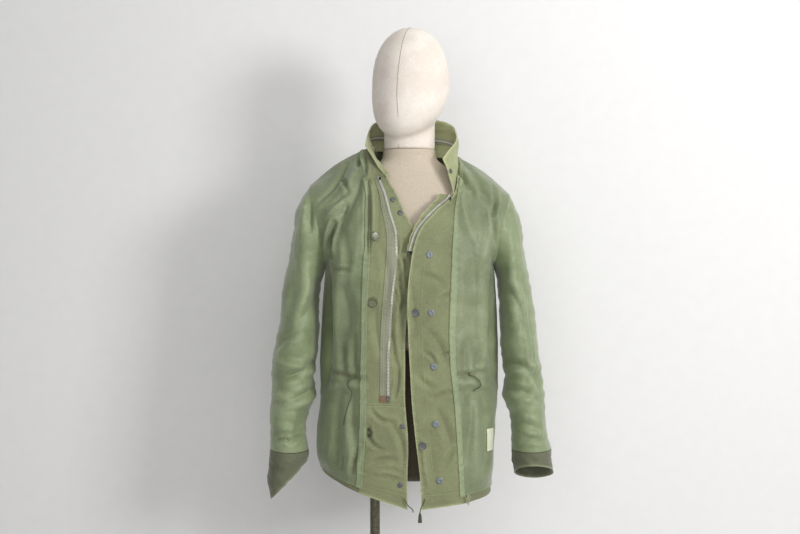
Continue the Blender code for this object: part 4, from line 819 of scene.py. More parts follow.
# %% Sleeve rings
SleeveRow = namedtuple("SleeveRow", "outer_x outer_z inner_x inner_z centre_y depth")
SLEEVE_ROWS = {
    "right": [SleeveRow(*row) for row in (
        (0.240, 1.385, 0.1965, 1.238, 0.000, 0.087), (0.250, 1.335, 0.2000, 1.195, 0.000, 0.084),
        (0.259, 1.285, 0.2030, 1.150, -0.002, 0.080), (0.270, 1.220, 0.2035, 1.110, -0.004, 0.078),
        (0.279, 1.155, 0.2055, 1.075, -0.006, 0.076), (0.286, 1.095, 0.2090, 1.045, -0.008, 0.075),
        (0.292, 1.040, 0.2125, 1.015, -0.012, 0.074), (0.2975, 0.995, 0.2065, 0.980, -0.016, 0.072),
        (0.3005, 0.950, 0.2225, 0.943, -0.020, 0.068), (0.303, 0.905, 0.2258, 0.902, -0.024, 0.066),
        (0.3135, 0.868, 0.2262, 0.865, -0.027, 0.064))],
    "left": [SleeveRow(*row) for row in (
        (-0.250, 1.402, -0.1950, 1.238, 0.000, 0.087), (-0.260, 1.345, -0.1990, 1.195, 0.000, 0.084),
        (-0.269, 1.285, -0.2020, 1.150, -0.002, 0.080), (-0.2825, 1.215, -0.2030, 1.110, -0.004, 0.078),
        (-0.287, 1.150, -0.2050, 1.075, -0.006, 0.076), (-0.298, 1.100, -0.2105, 1.045, -0.008, 0.074),
        (-0.3065, 1.045, -0.2120, 1.010, -0.012, 0.073), (-0.305, 1.000, -0.2080, 0.980, -0.016, 0.070),
        (-0.3085, 0.950, -0.2250, 0.945, -0.020, 0.068), (-0.309, 0.903, -0.2305, 0.900, -0.024, 0.065),
        (-0.308, 0.867, -0.2240, 0.864, -0.027, 0.062))]}
# The right cuff's mouth differs from its solid's so that it shows open: raised 10 mm more at the front
# and lowered as much at the back, 3 mm higher as a whole and 2 mm narrower on each side.
CuffRow = namedtuple("CuffRow", "outer_x outer_z inner_x inner_z centre_y depth drop")
CUFF_ROWS = {
    "right": [CuffRow(*row) for row in (
        (0.3137, 0.8665, 0.2263, 0.8635, -0.027, 0.064, 0.000),
        (0.3140, 0.8400, 0.2266, 0.8420, -0.028, 0.063, 0.004),
        (0.3180, 0.8110, 0.2330, 0.8150, -0.029, 0.063, 0.024))],
    "left": [CuffRow(*row) for row in (
        (-0.3082, 0.8655, -0.2240, 0.8625, -0.027, 0.062, 0.000),
        (-0.3118, 0.8250, -0.2215, 0.8530, -0.028, 0.060, 0.000),
        (-0.3140, 0.7900, -0.2250, 0.8450, -0.029, 0.052, 0.000),
        (-0.3050, 0.7560, -0.2320, 0.8330, -0.030, 0.040, 0.000))]}
SLEEVE_WALL = 0.0016
FRONT_SEAM, BACK_SEAM = 50, -105
SLEEVE_ANGLES = spread((BACK_SEAM, FRONT_SEAM, BACK_SEAM + 360), (46, 58))
CUFF_ANGLES = np.linspace(-180, 180, 96, endpoint=False)
SLEEVE_SEEDS = {"left": 31, "right": 33}
SLEEVE_RINGS, CUFF_RINGS = 150, 34


def ring_points(row, angles):
    turn = np.radians(angles)
    outer = np.array((row.outer_x, row.centre_y, row.outer_z))
    inner = np.array((row.inner_x, row.centre_y, row.inner_z))
    ring = (outer + inner) / 2 + (outer - inner) / 2 * np.cos(turn)[:, None]
    ring[:, 1] -= row.depth * np.sin(turn)
    ring[:, 2] += getattr(row, "drop", 0.0) * np.sin(turn)
    return ring


def armhole_ring(side, angles):
    """The armhole seam as the body's panels have it."""
    ring = []
    phis = [-row.phi for row in FRONT_ROWS[side][UNDERARM_ROW:]]
    for angle in angles:
        signed = angle - 360 if angle > 180 else angle
        v = float(np.interp(-abs(signed), phis, range(UNDERARM_ROW, TOP_ROW + 1)))
        if signed >= 0:
            ring.append(sheet_points(front_controls(side), [3], [v])[0, 0])
        else:
            ring.append(sheet_points(back_controls(), [4 if side == "right" else 0], [v], 1)[0, 0])
    return np.array(ring)


def tube_heights(points, sign, creases, seed):
    """Creases on the front of a tube, others like them on its back, and small puckers."""
    normals = grid_normals(points, sign)
    front = np.clip(0.5 - normals[..., 1] * 1.6, 0, 1)
    behind = points + np.array((0.004, 0.0, 0.032))
    height = front * creased(points, creases) + (1 - front) * creased(behind, creases)
    height += puckers(points, 0.0014, 0.040, seed) + puckers(points, 0.0005, 0.012, seed + 1)
    down = arc_lengths(points, 0)
    return height * (1 - np.exp(-(down / SEAM_FADE) ** 2)) * top_fade(points)


for side, sign in (("right", 1), ("left", -1)):
    rings = np.array([armhole_ring(side, SLEEVE_ANGLES)]
                     + [ring_points(row, SLEEVE_ANGLES) for row in SLEEVE_ROWS[side]])
    base = smooth(rings, np.linspace(0, len(rings) - 1, SLEEVE_RINGS))
    outward = (grid_normals(base, 1) * (base - base.mean(axis=1, keepdims=True))).sum()
    facing_out = 1 if outward > 0 else -1
    heights = tube_heights(base, facing_out, SLEEVE_CREASES[side], SLEEVE_SEEDS[side])
    sleeve = Sheet(SLEEVE_ANGLES, np.linspace(0, len(rings) - 1, SLEEVE_RINGS), base, facing_out, heights)
    SHEETS[f"sleeve_{side}"] = sleeve
    last = len(rings) - 1
    for part, span in (("upper", (BACK_SEAM, FRONT_SEAM)), ("under", (FRONT_SEAM, BACK_SEAM + 360))):
        layer(f"sleeve_{side}_{part}_cloth", f"sleeve_{side}_{part}", sleeve, span, (0, last), 0.0,
              SLEEVE_WALL, SLEEVE_LIT_LINING, ("left", "right"), 0.05)

# %% [markdown]
# ## Cuffs
# Turned inside out, the cuffs show their darker olive sateen. On one side the hand cover's point
# hangs out of the cuff; the other stands open, with a pale folded rim.

# %% Cuffs
for side in ("right", "left"):
    rings = np.array([ring_points(row, CUFF_ANGLES) for row in CUFF_ROWS[side]])
    base = smooth(rings, np.linspace(0, len(rings) - 1, CUFF_RINGS))
    wrapped = np.concatenate([base[:, -1:], base, base[:, :1]], axis=1)
    outward = (grid_normals(wrapped, 1)[:, 1:-1] * (base - base.mean(axis=1, keepdims=True))).sum()
    facing_out = 1 if outward > 0 else -1
    waves = puckers(wrapped, 0.0022, 0.030, 41) + puckers(wrapped, 0.0008, 0.012, 42)
    waves = waves * (1 - np.exp(-(arc_lengths(wrapped, 0) / 0.006) ** 2))
    full = wrapped + grid_normals(wrapped, facing_out) * waves[..., None]
    normals = grid_normals(full, facing_out)[:, 1:-1]
    full = full[:, 1:-1]
    rim = np.exp(-(edge_distance(full, ("top",)) / 0.004) ** 2)
    full = full + normals * (rim * 0.0009)[..., None]
    name = f"cuff_{side}_cloth"
    obj = wall(name, full, normals, SLEEVE_WALL, CUFF_SATEEN, np.clip(0.1 + 1.2 * rim, 0, 1), closed=True)
    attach(obj, BODY)
    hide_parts(f"cuff_{side}")

# %% [markdown]
# ## The stand collar
# The collar holds the rolled hood, so it is thick and stands up, and its zip runs along the inner
# face. Rows of topstitching stiffen it. It is drawn from the neckline up to its free edge.

# %% Collar
CollarTop = namedtuple("CollarTop", "x y z")
COLLAR_TOP = [CollarTop(*row) for row in (
    (-0.098, -0.040, 1.535), (-0.0935, -0.010, 1.561), (-0.083, 0.028, 1.590), (-0.056, 0.064, 1.604),
    (0.000, 0.084, 1.607), (0.064, 0.060, 1.603), (0.098, 0.023, 1.586), (0.1065, -0.003, 1.568),
    (0.100, -0.036, 1.543), (0.086, -0.060, 1.522), (0.072, -0.078, 1.503))]
COLLAR_WALL = 0.0024
COLLAR_STATIONS = np.linspace(0, len(COLLAR_TOP) - 1, 170)
COLLAR_FOOT = -0.26         # share of its height by which the collar's foot is caught inside the neck
FOOT_FADE = 1.6             # stations over which the foot narrows to nothing at each corner
BELLY, FOOT_DEPTH = 0.0030, 0.004           # the collar swells at half height, its foot is sunk
STITCH_DIP, STITCH_DIP_WIDTH = 0.0006, 0.018        # depth in metres, width as a share of height
RIM_RISE, RIM_WIDTH = 0.0006, 0.0045        # of its rolled edge
COLLAR_SHARES = spread((COLLAR_FOOT, 0, 0.22, 0.32, 0.42, 1), (4, 7, 4, 4, 20))
STITCH_SHARES = (0.94, 0.87, 0.79, 0.70)

base = [SHEETS["left"].at(0, v)[0] for v in (12, 12.5, 13)]
base += [SHEETS["back"].at(u, TOP_ROW)[0] for u in (1.5, 2, 2.5)]
base += [SHEETS["right"].at(0, v)[0] for v in (13, 12.5, 12)]
corner = SHEETS["right"].at(0, 11)[0]
base += [(base[-1] + corner) / 2, corner]
base = smooth(np.array(base) + np.array((0, 0, SHELL)), COLLAR_STATIONS)
tops = smooth(np.array(COLLAR_TOP), COLLAR_STATIONS)
corner_fade = np.clip(np.minimum(COLLAR_STATIONS, 10 - COLLAR_STATIONS) / FOOT_FADE, 0.05, 1)[:, None]
flat = np.array([base + (tops - base) * share * (corner_fade if share < 0 else 1) for share in COLLAR_SHARES])
outward = (grid_normals(flat, 1) * flat * np.array((1.0, 1.0, 0.0))).sum()
facing_out = 1 if outward > 0 else -1
share = COLLAR_SHARES[:, None]
belly = BELLY * np.sin(np.pi * share) * np.ones((1, flat.shape[1])) - FOOT_DEPTH * (share < 0)
belly += (puckers(flat, 0.0024, 0.045, 51) + puckers(flat, 0.0009, 0.016, 52)) * np.sin(np.pi * share * 0.5)
for row in STITCH_SHARES:
    belly -= STITCH_DIP * np.exp(-((share - row) / STITCH_DIP_WIDTH) ** 2)
SHEETS["collar"] = collar = Sheet(COLLAR_STATIONS, COLLAR_SHARES, flat, facing_out, belly)
points, normals, _ = collar.cut((0, 10), (COLLAR_FOOT, 1))
rim = np.exp(-(edge_distance(points, ("top", "left", "right")) / RIM_WIDTH) ** 2)
obj = wall("collar_cloth", points + normals * (RIM_RISE * rim)[..., None], normals,
           COLLAR_WALL, COLLAR_LIT_SATEEN, np.clip(0.25 + rim, 0, 1))
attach(obj, BODY)
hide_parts("collar")

# %% [markdown]
# ## Many small things in one mesh
# Stitches and zip teeth are the same small chamfered block, hundreds of times over. Each kind is
# one joined mesh, and a block has only six faces, because so many are needed.

# %% Rows of blocks
TEETH_PITCH = 0.0030
STITCH_PITCH = 0.0056
TOOTH = (0.0020, 0.0056, 0.0020)     # along the zip, across it, height
STITCH = (0.0030, 0.0010, 0.0006)


def blocks(name, spots, size, material, replaced=(), chamfer=0.25):
    """One mesh of blocks at (centre, direction along, normal) spots."""
    length, width, height = size
    corners, faces = [], []
    for centre, along, normal in spots:
        along = along / np.linalg.norm(along)
        across = np.cross(normal, along)
        first = len(corners)
        for level, shrink in ((0.0, 1.0), (height, 1.0 - chamfer)):
            for a, b in ((-1, -1), (1, -1), (1, 1), (-1, 1)):
                corners.append(centre + along * a * length / 2 * shrink + across * b * width / 2 * shrink
                               + normal * level)
        k = first
        faces += [(k + 3, k + 2, k + 1, k), (k + 4, k + 5, k + 6, k + 7)]
        faces += [(k + i, k + (i + 1) % 4, k + 4 + (i + 1) % 4, k + 4 + i) for i in range(4)]
    mesh = bpy.data.meshes.new(name)
    mesh.from_pydata([tuple(c) for c in corners], [], faces)
    mesh.uv_layers.new(name="cloth")
    mesh.materials.append(material)
    obj = bpy.data.objects.new(name, mesh)
    bpy.context.collection.objects.link(obj)
    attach(obj, BODY)
    if replaced:
        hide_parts(*replaced)
    print(name, len(spots), "blocks")
    return obj


def along_line(sheet, places, pitch, out):
    """Spots every pitch metres along (u, v) places on a sheet."""
    fine = []
    for (u0, v0), (u1, v1) in zip(places, places[1:]):
        steps = max(2, int(60 * max(abs(v1 - v0), abs(u1 - u0) * 0.5)))
        fine += [(u0 + (u1 - u0) * k / steps, v0 + (v1 - v0) * k / steps) for k in range(steps)]
    fine.append(places[-1])
    found = [sheet.at(u, v, out) for u, v in fine]
    points = np.array([p for p, _ in found])
    normals = np.array([n for _, n in found])
    reached = np.concatenate([[0], np.cumsum(np.linalg.norm(np.diff(points, axis=0), axis=1))])
    spots = []
    for place in np.arange(pitch / 2, reached[-1], pitch):
        k = min(int(np.searchsorted(reached, place)) - 1, len(points) - 2)
        t = (place - reached[k]) / (reached[k + 1] - reached[k])
        normal = normals[k] * (1 - t) + normals[k + 1] * t
        spots.append((points[k] * (1 - t) + points[k + 1] * t, points[k + 1] - points[k],
                      normal / np.linalg.norm(normal)))
    return spots


# %% [markdown]
# ## The front zip
# Half of the zip is sewn to each front. The tape is ribbed along its length and lies on the
# facing, and its teeth stand on the tape's free edge. Past the other front only the upper part
# shows, beyond the edge, with its own narrow flap behind it.

# %% Left tape and teeth
TAPE = 0.0010
layer("zip_tape_left_cloth", "zip_tape_left", SHEETS["left"], (0.38, 0.60), (3, 12), GAP + TAPE, TAPE,
      TAPE_WEAVE, (), 0.1)
chain_height = 2 * GAP + TAPE
track = along_line(SHEETS["left"], [(0.405, 3.2), (0.405, 12)], TEETH_PITCH, chain_height)
blocks("zip_teeth_left", track, TOOTH, ALUMINIUM, ["zip_chain_left"])

# %% Right tape, teeth and flap, past the front edge
RIGHT_TAPE_DEPTH, RIGHT_FLY_DEPTH = 0.0031, 0.0046
RIGHT_TAPE_REACH = 0.009
FLY_REACH = ((8, 0.012), (9, 0.014), (10, 0.022), (11, 0.030))      # row, reach
BEHIND_EDGE = 0.030         # from the edge back to where the tape and flap are sewn
EDGE_TRACK = 0.0072         # from the edge out to the middle of the teeth
RIGHT_TOOTH_WIDTH, HOOD_TOOTH_WIDTH, HOOD_TOOTH_HEIGHT = 0.0036, 0.0042, 0.0016


def past_edge(v, distance, out):
    """Place beyond the right front's edge, in line with the cloth there."""
    edge, normal = SHEETS["right"].at(0, v)
    inner, _ = SHEETS["right"].at(0.33, v)
    past = (edge - inner) / np.linalg.norm(edge - inner)
    return edge + past * distance + normal * out, normal


def edge_strip(name, node, reach, depth, thickness, material, worn):
    rows = np.linspace(8, 11, 80)
    shares = np.linspace(0, 1, 14)
    grid = [[past_edge(v, -BEHIND_EDGE + (BEHIND_EDGE + reach(v)) * s, -depth) for s in shares] for v in rows]
    points = np.array([[p for p, _ in line] for line in grid])
    normals = np.array([[n for _, n in line] for line in grid])
    rim = np.exp(-(edge_distance(points, ("right",)) / 0.003) ** 2)
    obj = wall(name, points, normals, thickness, material, np.clip(worn + rim, 0, 1))
    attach(obj, BODY)
    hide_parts(node)


edge_strip("zip_tape_right_cloth", "zip_tape_right", lambda v: RIGHT_TAPE_REACH, RIGHT_TAPE_DEPTH, TAPE,
           TAPE_WEAVE, 0.1)
edge_strip("fly_right_cloth", "fly_right", lambda v: float(np.interp(v, *zip(*FLY_REACH))), RIGHT_FLY_DEPTH,
           SHELL, SATEEN, 0.2)
rows = np.linspace(8, 11, 600)
track = [past_edge(v, EDGE_TRACK, -RIGHT_TAPE_DEPTH + GAP) for v in rows]
steps = [np.linalg.norm(b[0] - a[0]) for a, b in zip(track, track[1:])]
reached = np.concatenate([[0], np.cumsum(steps)])
places = np.arange(0.001, reached[-1] - 0.001, TEETH_PITCH)
picked = [int(np.searchsorted(reached, place)) for place in places]
blocks("zip_teeth_right", [(track[k][0], track[k + 1][0] - track[k][0], track[k][1]) for k in picked],
       (TOOTH[0], RIGHT_TOOTH_WIDTH, TOOTH[2]), ALUMINIUM, ["zip_chain_right"])

# %% [markdown]
# ## The hood zip
# This zip is closed, so its teeth mesh in one line round the inside of the collar. Its tape lies
# on the collar's inner face, which is the far side of the collar's sheet.

# %% Hood zip
points, normals, _ = collar.cut((1, 8), (0.22, 0.42))
depth = COLLAR_WALL + GAP
obj = wall("hood_zip_tape_cloth", points - normals * depth, normals, TAPE, TAPE_WEAVE,
           np.zeros(points.shape[:2]))
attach(obj, BODY)
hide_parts("hood_zip_tape")
inward = [(place, along, -normal) for place, along, normal
          in along_line(collar, [(1.25, 0.32), (8, 0.32)], TEETH_PITCH, -(depth + TAPE + GAP))]
blocks("hood_zip_teeth", inward, (TOOTH[0], HOOD_TOOTH_WIDTH, HOOD_TOOTH_HEIGHT), ALUMINIUM,
       ["hood_zip_chain"])

# %% [markdown]
# ## Snaps and buttons
# Each is modelled once, as a disc that is extruded and inset in steps, bevelled, and then copied
# to its place with its own mesh. The places come from the solids' boxes, laid onto the cloth.

# %% Turned by extrude and inset
def stepped_disc(radius, steps, sides=32, bevel=0.00012):
    """A disc built up by steps of (inset, rise); inset 0 is a straight extrude."""
    deselect()
    bpy.ops.mesh.primitive_circle_add(vertices=sides, radius=radius, fill_type="NGON")
    disc = bpy.context.object
    bpy.ops.object.mode_set(mode="EDIT")
    bpy.ops.mesh.select_all(action="SELECT")
    for inset, rise in steps:
        if inset:
            bpy.ops.mesh.inset(thickness=inset)
            bpy.ops.transform.translate(value=(0, 0, rise))
        else:
            bpy.ops.mesh.extrude_region_move(TRANSFORM_OT_translate={"value": (0, 0, rise)})
    bpy.ops.mesh.select_all(action="SELECT")
    bpy.ops.mesh.normals_make_consistent(inside=False)
    bpy.ops.object.mode_set(mode="OBJECT")
    rounded = disc.modifiers.new("rounded", "BEVEL")
    rounded.width = bevel
    rounded.segments = 2
    rounded.limit_method = "ANGLE"
    bpy.ops.object.modifier_apply(modifier="rounded")
    bpy.ops.object.shade_smooth_by_angle(angle=math.radians(35))
    return disc


def pierced(disc, holes, radius, depth):
    """Drills straight holes through a disc at (x, y) places."""
    for x, y in holes:
        deselect()
        bpy.ops.mesh.primitive_cylinder_add(vertices=16, radius=radius, depth=depth, location=(x, y, 0))
        drill = bpy.context.object
        cut = disc.modifiers.new("hole", "BOOLEAN")
        cut.operation = "DIFFERENCE"
        cut.object = drill
        deselect()
        disc.select_set(True)
        bpy.context.view_layer.objects.active = disc
        bpy.ops.object.modifier_apply(modifier="hole")
        bpy.data.objects.remove(drill, do_unlink=True)
    return disc


def nearest_spot(sheet, place, side=1):
    """Where a place falls on a sheet, and the normal there; side -1 is the inner face."""
    place = np.array(place)
    k = np.unravel_index(np.argmin(np.linalg.norm(sheet.points - place, axis=-1)), sheet.points.shape[:2])
    point, normal = sheet.points[k], sheet.normals[k] * side
    return place - normal * np.dot(place - point, normal), normal


def node_centre(node):
    low, high = (np.array(corner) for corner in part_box(node))
    return (low + high) / 2


def fasten(master, node, name, sheet, lift, material):
    """A copy of a fastener on a sheet, where the solid of that node is."""
    spot, normal = nearest_spot(sheet, node_centre(node))
    turn = Vector(normal).to_track_quat("Z", "Y").to_matrix().to_4x4()
    mesh = master.data.copy()
    mesh.name = name
    mesh.transform(Matrix.Translation(Vector(spot + normal * lift)) @ turn)
    mesh.materials.clear()
    mesh.materials.append(material)
    obj = bpy.data.objects.new(name, mesh)
    bpy.context.collection.objects.link(obj)
    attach(obj, BODY)
    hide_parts(node)
    return spot, normal


SNAP_STEPS = ((0, 0.0009), (0.0016, 0.0010), (0.0022, 0.0002), (0.0006, -0.0012))
SMALL_SNAP_STEPS = ((0, 0.0008), (0.0012, 0.0009), (0.0016, 0.0002), (0.0005, -0.0010))
BUTTON_STEPS = ((0, 0.0022), (0.0008, 0.0008), (0.0010, 0.0), (0.0010, -0.0010))
EDGE_BUTTON_STEPS = ((0, 0.0020), (0.0008, 0.0008), (0.0010, -0.0006))
HOLE_SIDES = (-0.0018, 0.0018)          # the four holes stand at these places each way
HOLE_RADIUS, DRILL_LENGTH = 0.0009, 0.02
LIFT = 0.0004                           # of a fastener above its cloth
THREAD_HEIGHT = 0.0019                  # of the thread above a button's foot
snap = stepped_disc(0.0072, SNAP_STEPS)
small_snap = stepped_disc(0.0055, SMALL_SNAP_STEPS)
button = pierced(stepped_disc(0.0105, BUTTON_STEPS), [(x, y) for x in HOLE_SIDES for y in HOLE_SIDES],
                 HOLE_RADIUS, DRILL_LENGTH)
edge_button = stepped_disc(0.0080, EDGE_BUTTON_STEPS)
threads = []
for number in range(1, 6):
    fasten(snap, f"snap_right_{number}", f"snap_right_{number}_back", SHEETS["right"], LIFT, SNAP_ZINC)
    fasten(small_snap, f"snap_left_{number}", f"snap_left_{number}_back", SHEETS["left"], LIFT, ENAMEL)
for number in range(1, 3):
    fasten(edge_button, f"button_right_{number}", f"button_right_{number}_rimmed", SHEETS["right"], LIFT,
           ENAMEL)
for number in range(1, 4):
    spot, normal = fasten(button, f"button_left_{number}", f"button_left_{number}_sewn", SHEETS["left"], LIFT,
                          UREA)
    for x in HOLE_SIDES:
        across = np.cross((0.0, 0.0, 1.0), normal)
        threads.append((spot + across / np.linalg.norm(across) * x + normal * (LIFT + THREAD_HEIGHT),
                        np.array((0.0, 0.0, 1.0)) - normal * normal[2], normal))
fasten(small_snap, "snap_collar", "snap_collar_back", collar, LIFT, ENAMEL)
blocks("button_threads", threads, (0.0042, 0.0009, 0.0007), THREAD)
for master in (snap, small_snap, button, edge_button):
    bpy.data.objects.remove(master, do_unlink=True)

# %% [markdown]
# ## Slider, pull tab and zip box
# These small die-cast pieces have their true shape already, so they keep it and get a finish. The
# tab swings on the slider.

# %% Finishes for the pieces that stay
def finish_node(name, material):
    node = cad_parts[name]
    node.data.materials.clear()
    node.data.materials.append(material)


for name in ("hood_zip_slider", "hood_zip_pull", "zip_box"):
    finish_node(name, ENAMEL)
for name in ("pole", "base_plate"):
    finish_node(name, STEEL)
finish_node("hem_tassel", CORD_COTTON)

# %% [markdown]
# ## Rows of stitching
# A row runs down each side of a welt, one or two rows hold an edge or a tape, and four stiffen the
# collar.

# %% Stitches
rows = []
for side in ("left", "right"):
    sheet = SHEETS[side]
    for u in (0.956, 1.085):
        rows.append((sheet, [(u, 0.3), (u, 12.9)], LINING + GAP + WELT))
    rows.append((sheet, [(0.05, 0.42), (0.98, 0.42)], 0.0003))
    rows.append((sheet, [(1.04, 0.32), (2.96, 0.32)], 0.0003))
rows += [(SHEETS["right"], [(0.055, 0.5), (0.055, 10.9)], 0.0004),
         (SHEETS["right"], [(0.32, 1.2), (0.32, 8.6)], 0.0002),
         (SHEETS["left"], [(0.05, 3.1), (0.05, 11.8)], 0.0004),
         (SHEETS["left"], [(0.06, 0.5), (0.06, 2.9)], 0.0004),
         (SHEETS["left"], [(0.585, 3.05), (0.585, 11.9)], 0.0014),
         (SHEETS["left"], [(0.52, 3.05), (0.52, 11.9)], 0.0014),
         (SHEETS["left"], [(0.04, 2.95), (0.96, 2.95)], 0.0006),
         (SHEETS["left"], [(0.04, 2.88), (0.96, 2.88)], 0.0004),
         (SHEETS["back"], [(0.05, 0.32), (3.95, 0.32)], 0.0003)]
spots = [spot for sheet, places, out in rows for spot in along_line(sheet, places, STITCH_PITCH, out)]
for share in STITCH_SHARES:
    spots += along_line(collar, [(0.15, share), (9.85, share)], STITCH_PITCH, 0.0002)
blocks("seam_stitches", spots, STITCH, THREAD)

# %% [markdown]
# ## Small ends and hooks
# The zip tape's foot is dipped in a reddish resin. A small black hook sits at each top stop, and
# short threads have frayed out of the hem's right end.

# %% Tape end, hooks and frayed threads
TAPE_RESIN = hard("resin_dipped_tape", "#6c523c", "#806349", 0.0, 0.5, 2.0)
BLACK_STEEL = hard("blackened_steel_hook", "#1d1f1d", "#303330", 0.5, 0.45, 2.0)
layer("zip_tape_end_cloth", None, SHEETS["left"], (0.38, 0.60), (3.0, 3.24), 2 * GAP + 2 * TAPE, TAPE,
      TAPE_RESIN)
hooks = []
for sheet, u, v, out in ((SHEETS["left"], 0.37, 11.85, 0.0020), (SHEETS["right"], 0.06, 10.72, 0.0010)):
    spot, normal = sheet.at(u, v, out)
    hooks.append((spot, np.array((0.25, 0.0, 1.0)), normal))
blocks("zip_hooks", hooks, (0.0090, 0.0048, 0.0026), BLACK_STEEL)
draw = np.random.default_rng(7)
frays = []
for _ in range(26):
    spot, normal = SHEETS["right"].at(draw.uniform(1.12, 1.30), draw.uniform(0.0, 0.22), 0.0022)
    frays.append((spot, np.array((draw.uniform(-0.7, 0.7), 0.0, -1.0)), normal))
blocks("frayed_threads", frays, (0.0130, 0.0007, 0.0006), THREAD)

# %% [markdown]
# ## Care label
# A blank woven tape is caught in the lining seam. It carries nothing.

# %% Label
LABEL_LIFT = 0.0022
grid = [[SHEETS["right"].at(u, v, LABEL_LIFT) for u in np.linspace(2.10, 2.36, 8)]
        for v in np.linspace(1.55, 2.2, 14)]
points = np.array([[p for p, _ in line] for line in grid])
normals = np.array([[n for _, n in line] for line in grid])
obj = wall("care_label_cloth", points, normals, TAPE, LABEL_WEAVE, np.zeros(points.shape[:2]))
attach(obj, BODY)
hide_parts("care_label")

# %% [markdown]
# ## The dress form
# A plain egg head on a neck, over a limbless torso, all under stretched cotton. The head starts as
# a sphere and the neck as a cylinder; they are joined, remeshed and smoothed into one skin. One
# thin seam runs over the crown and down the face's middle, and one goes round the neck.

# %% Head and neck
HEAD_CENTRE_Z, HEAD_HEIGHT, HEAD_WIDTH, HEAD_DEPTH = 1.675, 0.1255, 0.0866, 0.098
HEAD_PLACE, CHIN_SHIFT = (0.0035, -0.004), (-0.021, -0.040)
HEAD_POWER, LEAN_POWER = 2.15, 1.5
NECK_Z, NECK_RADIUS = 1.5265, 0.057
HEAD_VOXEL = 0.004

deselect()
bpy.ops.mesh.primitive_uv_sphere_add(segments=72, ring_count=48, radius=1.0)
head = bpy.context.object
for vertex in head.data.vertices:
    x, y, t = vertex.co
    around = math.hypot(x, y)
    size = (1 - min(abs(t), 1.0) ** HEAD_POWER) ** (1 / HEAD_POWER)
    lean = max(-t, 0.0)
    c, s = (x / around, y / around) if around > 1e-6 else (0.0, 0.0)
    deep = HEAD_DEPTH * size * ((0.97 - 0.12 * lean) if s > 0 else 1.0)
    vertex.co = (HEAD_PLACE[0] + CHIN_SHIFT[0] * lean ** LEAN_POWER + HEAD_WIDTH * size * c,
                 HEAD_PLACE[1] + CHIN_SHIFT[1] * lean ** LEAN_POWER + deep * s,
                 HEAD_CENTRE_Z + t * HEAD_HEIGHT)
deselect()
bpy.ops.mesh.primitive_cylinder_add(vertices=64, radius=NECK_RADIUS, depth=1.600 - NECK_Z,
                                    location=(0, 0, (1.600 + NECK_Z) / 2))
neck = bpy.context.object
deselect()
neck.select_set(True)
head.select_set(True)
bpy.context.view_layer.objects.active = head
bpy.ops.object.join()
remesh = head.modifiers.new("one_skin", "REMESH")
remesh.mode = "VOXEL"
remesh.voxel_size = HEAD_VOXEL
bpy.ops.object.modifier_apply(modifier="one_skin")
relax = head.modifiers.new("relaxed", "SMOOTH")
relax.iterations = 12
bpy.ops.object.modifier_apply(modifier="relaxed")
finer = head.modifiers.new("finer", "SUBSURF")
finer.levels = finer.render_levels = 1
bpy.ops.object.modifier_apply(modifier="finer")
bpy.ops.object.transform_apply(location=True, rotation=True, scale=True)
bpy.ops.object.shade_smooth()
head.name = "form_head_cloth"
head.data.materials.clear()
head.data.materials.append(FORM_CLOTH)
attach(head, BODY)
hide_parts("form_head")
print("head faces", len(head.data.polygons))

# %% Seams of the form's cover
SEAM_RADIUS = 0.0006
# The seams' dark brown is painted shade in their grooves.
SEAM_SHADE_LINE = woven("form_seam_shadow", ("#8d7f6d", "#998b78", "#a59784"), "#a59784", 1.0, 0.9, 0.0)
HEAD_SEAM = ((0.0014, 1.7985), (-0.006, 1.785), (-0.0133, 1.763), (-0.0210, 1.7215), (-0.0253, 1.685),
             (-0.0275, 1.638), (-0.0250, 1.590))       # (x, z) seen from the front
NECK_SEAM = ((-0.0238, 1.536), (-0.0232, 1.5265))


def form_seam(name, places):
    """A thin line laid on the head and neck, found by looking from the front."""
    route = smooth(np.array([(x, 0.0, z) for x, z in places]),
                   np.linspace(0, len(places) - 1, 12 * len(places)))
    hits = [head.ray_cast(Vector((x, -1.0, z)), Vector((0.0, 1.0, 0.0)))[:2] for x, _, z in route]
    curve = bpy.data.curves.new(name, "CURVE")
    curve.dimensions = "3D"
    curve.bevel_depth = SEAM_RADIUS
    curve.bevel_resolution = 1
    curve.use_fill_caps = True
    found = [place for met, place in hits if met]
    spline = curve.splines.new("POLY")
    spline.points.add(len(found) - 1)
    for point, place in zip(spline.points, found):
        point.co = (*place, 1.0)
    obj = bpy.data.objects.new(name, curve)
    bpy.context.collection.objects.link(obj)
    curve.materials.append(SEAM_SHADE_LINE)
    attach(obj, BODY)
    print(name, "points", len(found))


form_seam("head_seam", HEAD_SEAM)
form_seam("neck_seam", NECK_SEAM)

# %% [markdown]
# ## Torso
# The torso is lofted through level rings, a little squarer than ellipses. Its cream is a darker copy
# of the head's cotton, painted shade inside the jacket, and its lowest part is a dark brown band of painted
# shade.

# %% Torso
TORSO_RINGS = (             # height, half width, front, back
    (0.800, 0.105, 0.070, 0.070), (0.812, 0.140, 0.098, 0.088), (0.860, 0.150, 0.104, 0.092),
    (0.920, 0.152, 0.102, 0.094), (1.000, 0.146, 0.098, 0.088), (1.100, 0.141, 0.096, 0.083),
    (1.200, 0.148, 0.099, 0.088), (1.300, 0.158, 0.103, 0.094), (1.360, 0.170, 0.100, 0.090),
    (1.405, 0.172, 0.090, 0.078), (1.440, 0.150, 0.078, 0.070), (1.470, 0.112, 0.067, 0.062),
    (1.492, 0.080, 0.060, 0.057), (1.508, 0.062, 0.057, 0.055), (1.5262, 0.058, 0.057, 0.055))
TORSO_POWER = 2.3           # 2 is an ellipse, more is squarer
SHADE_BAND_EDGE = (1.085, 1.095)  # heights between which the painted shade band's top fades out
SIDES = 96
turn = np.linspace(0, 2 * np.pi, SIDES, endpoint=False)
c, s = np.cos(turn), np.sin(turn)
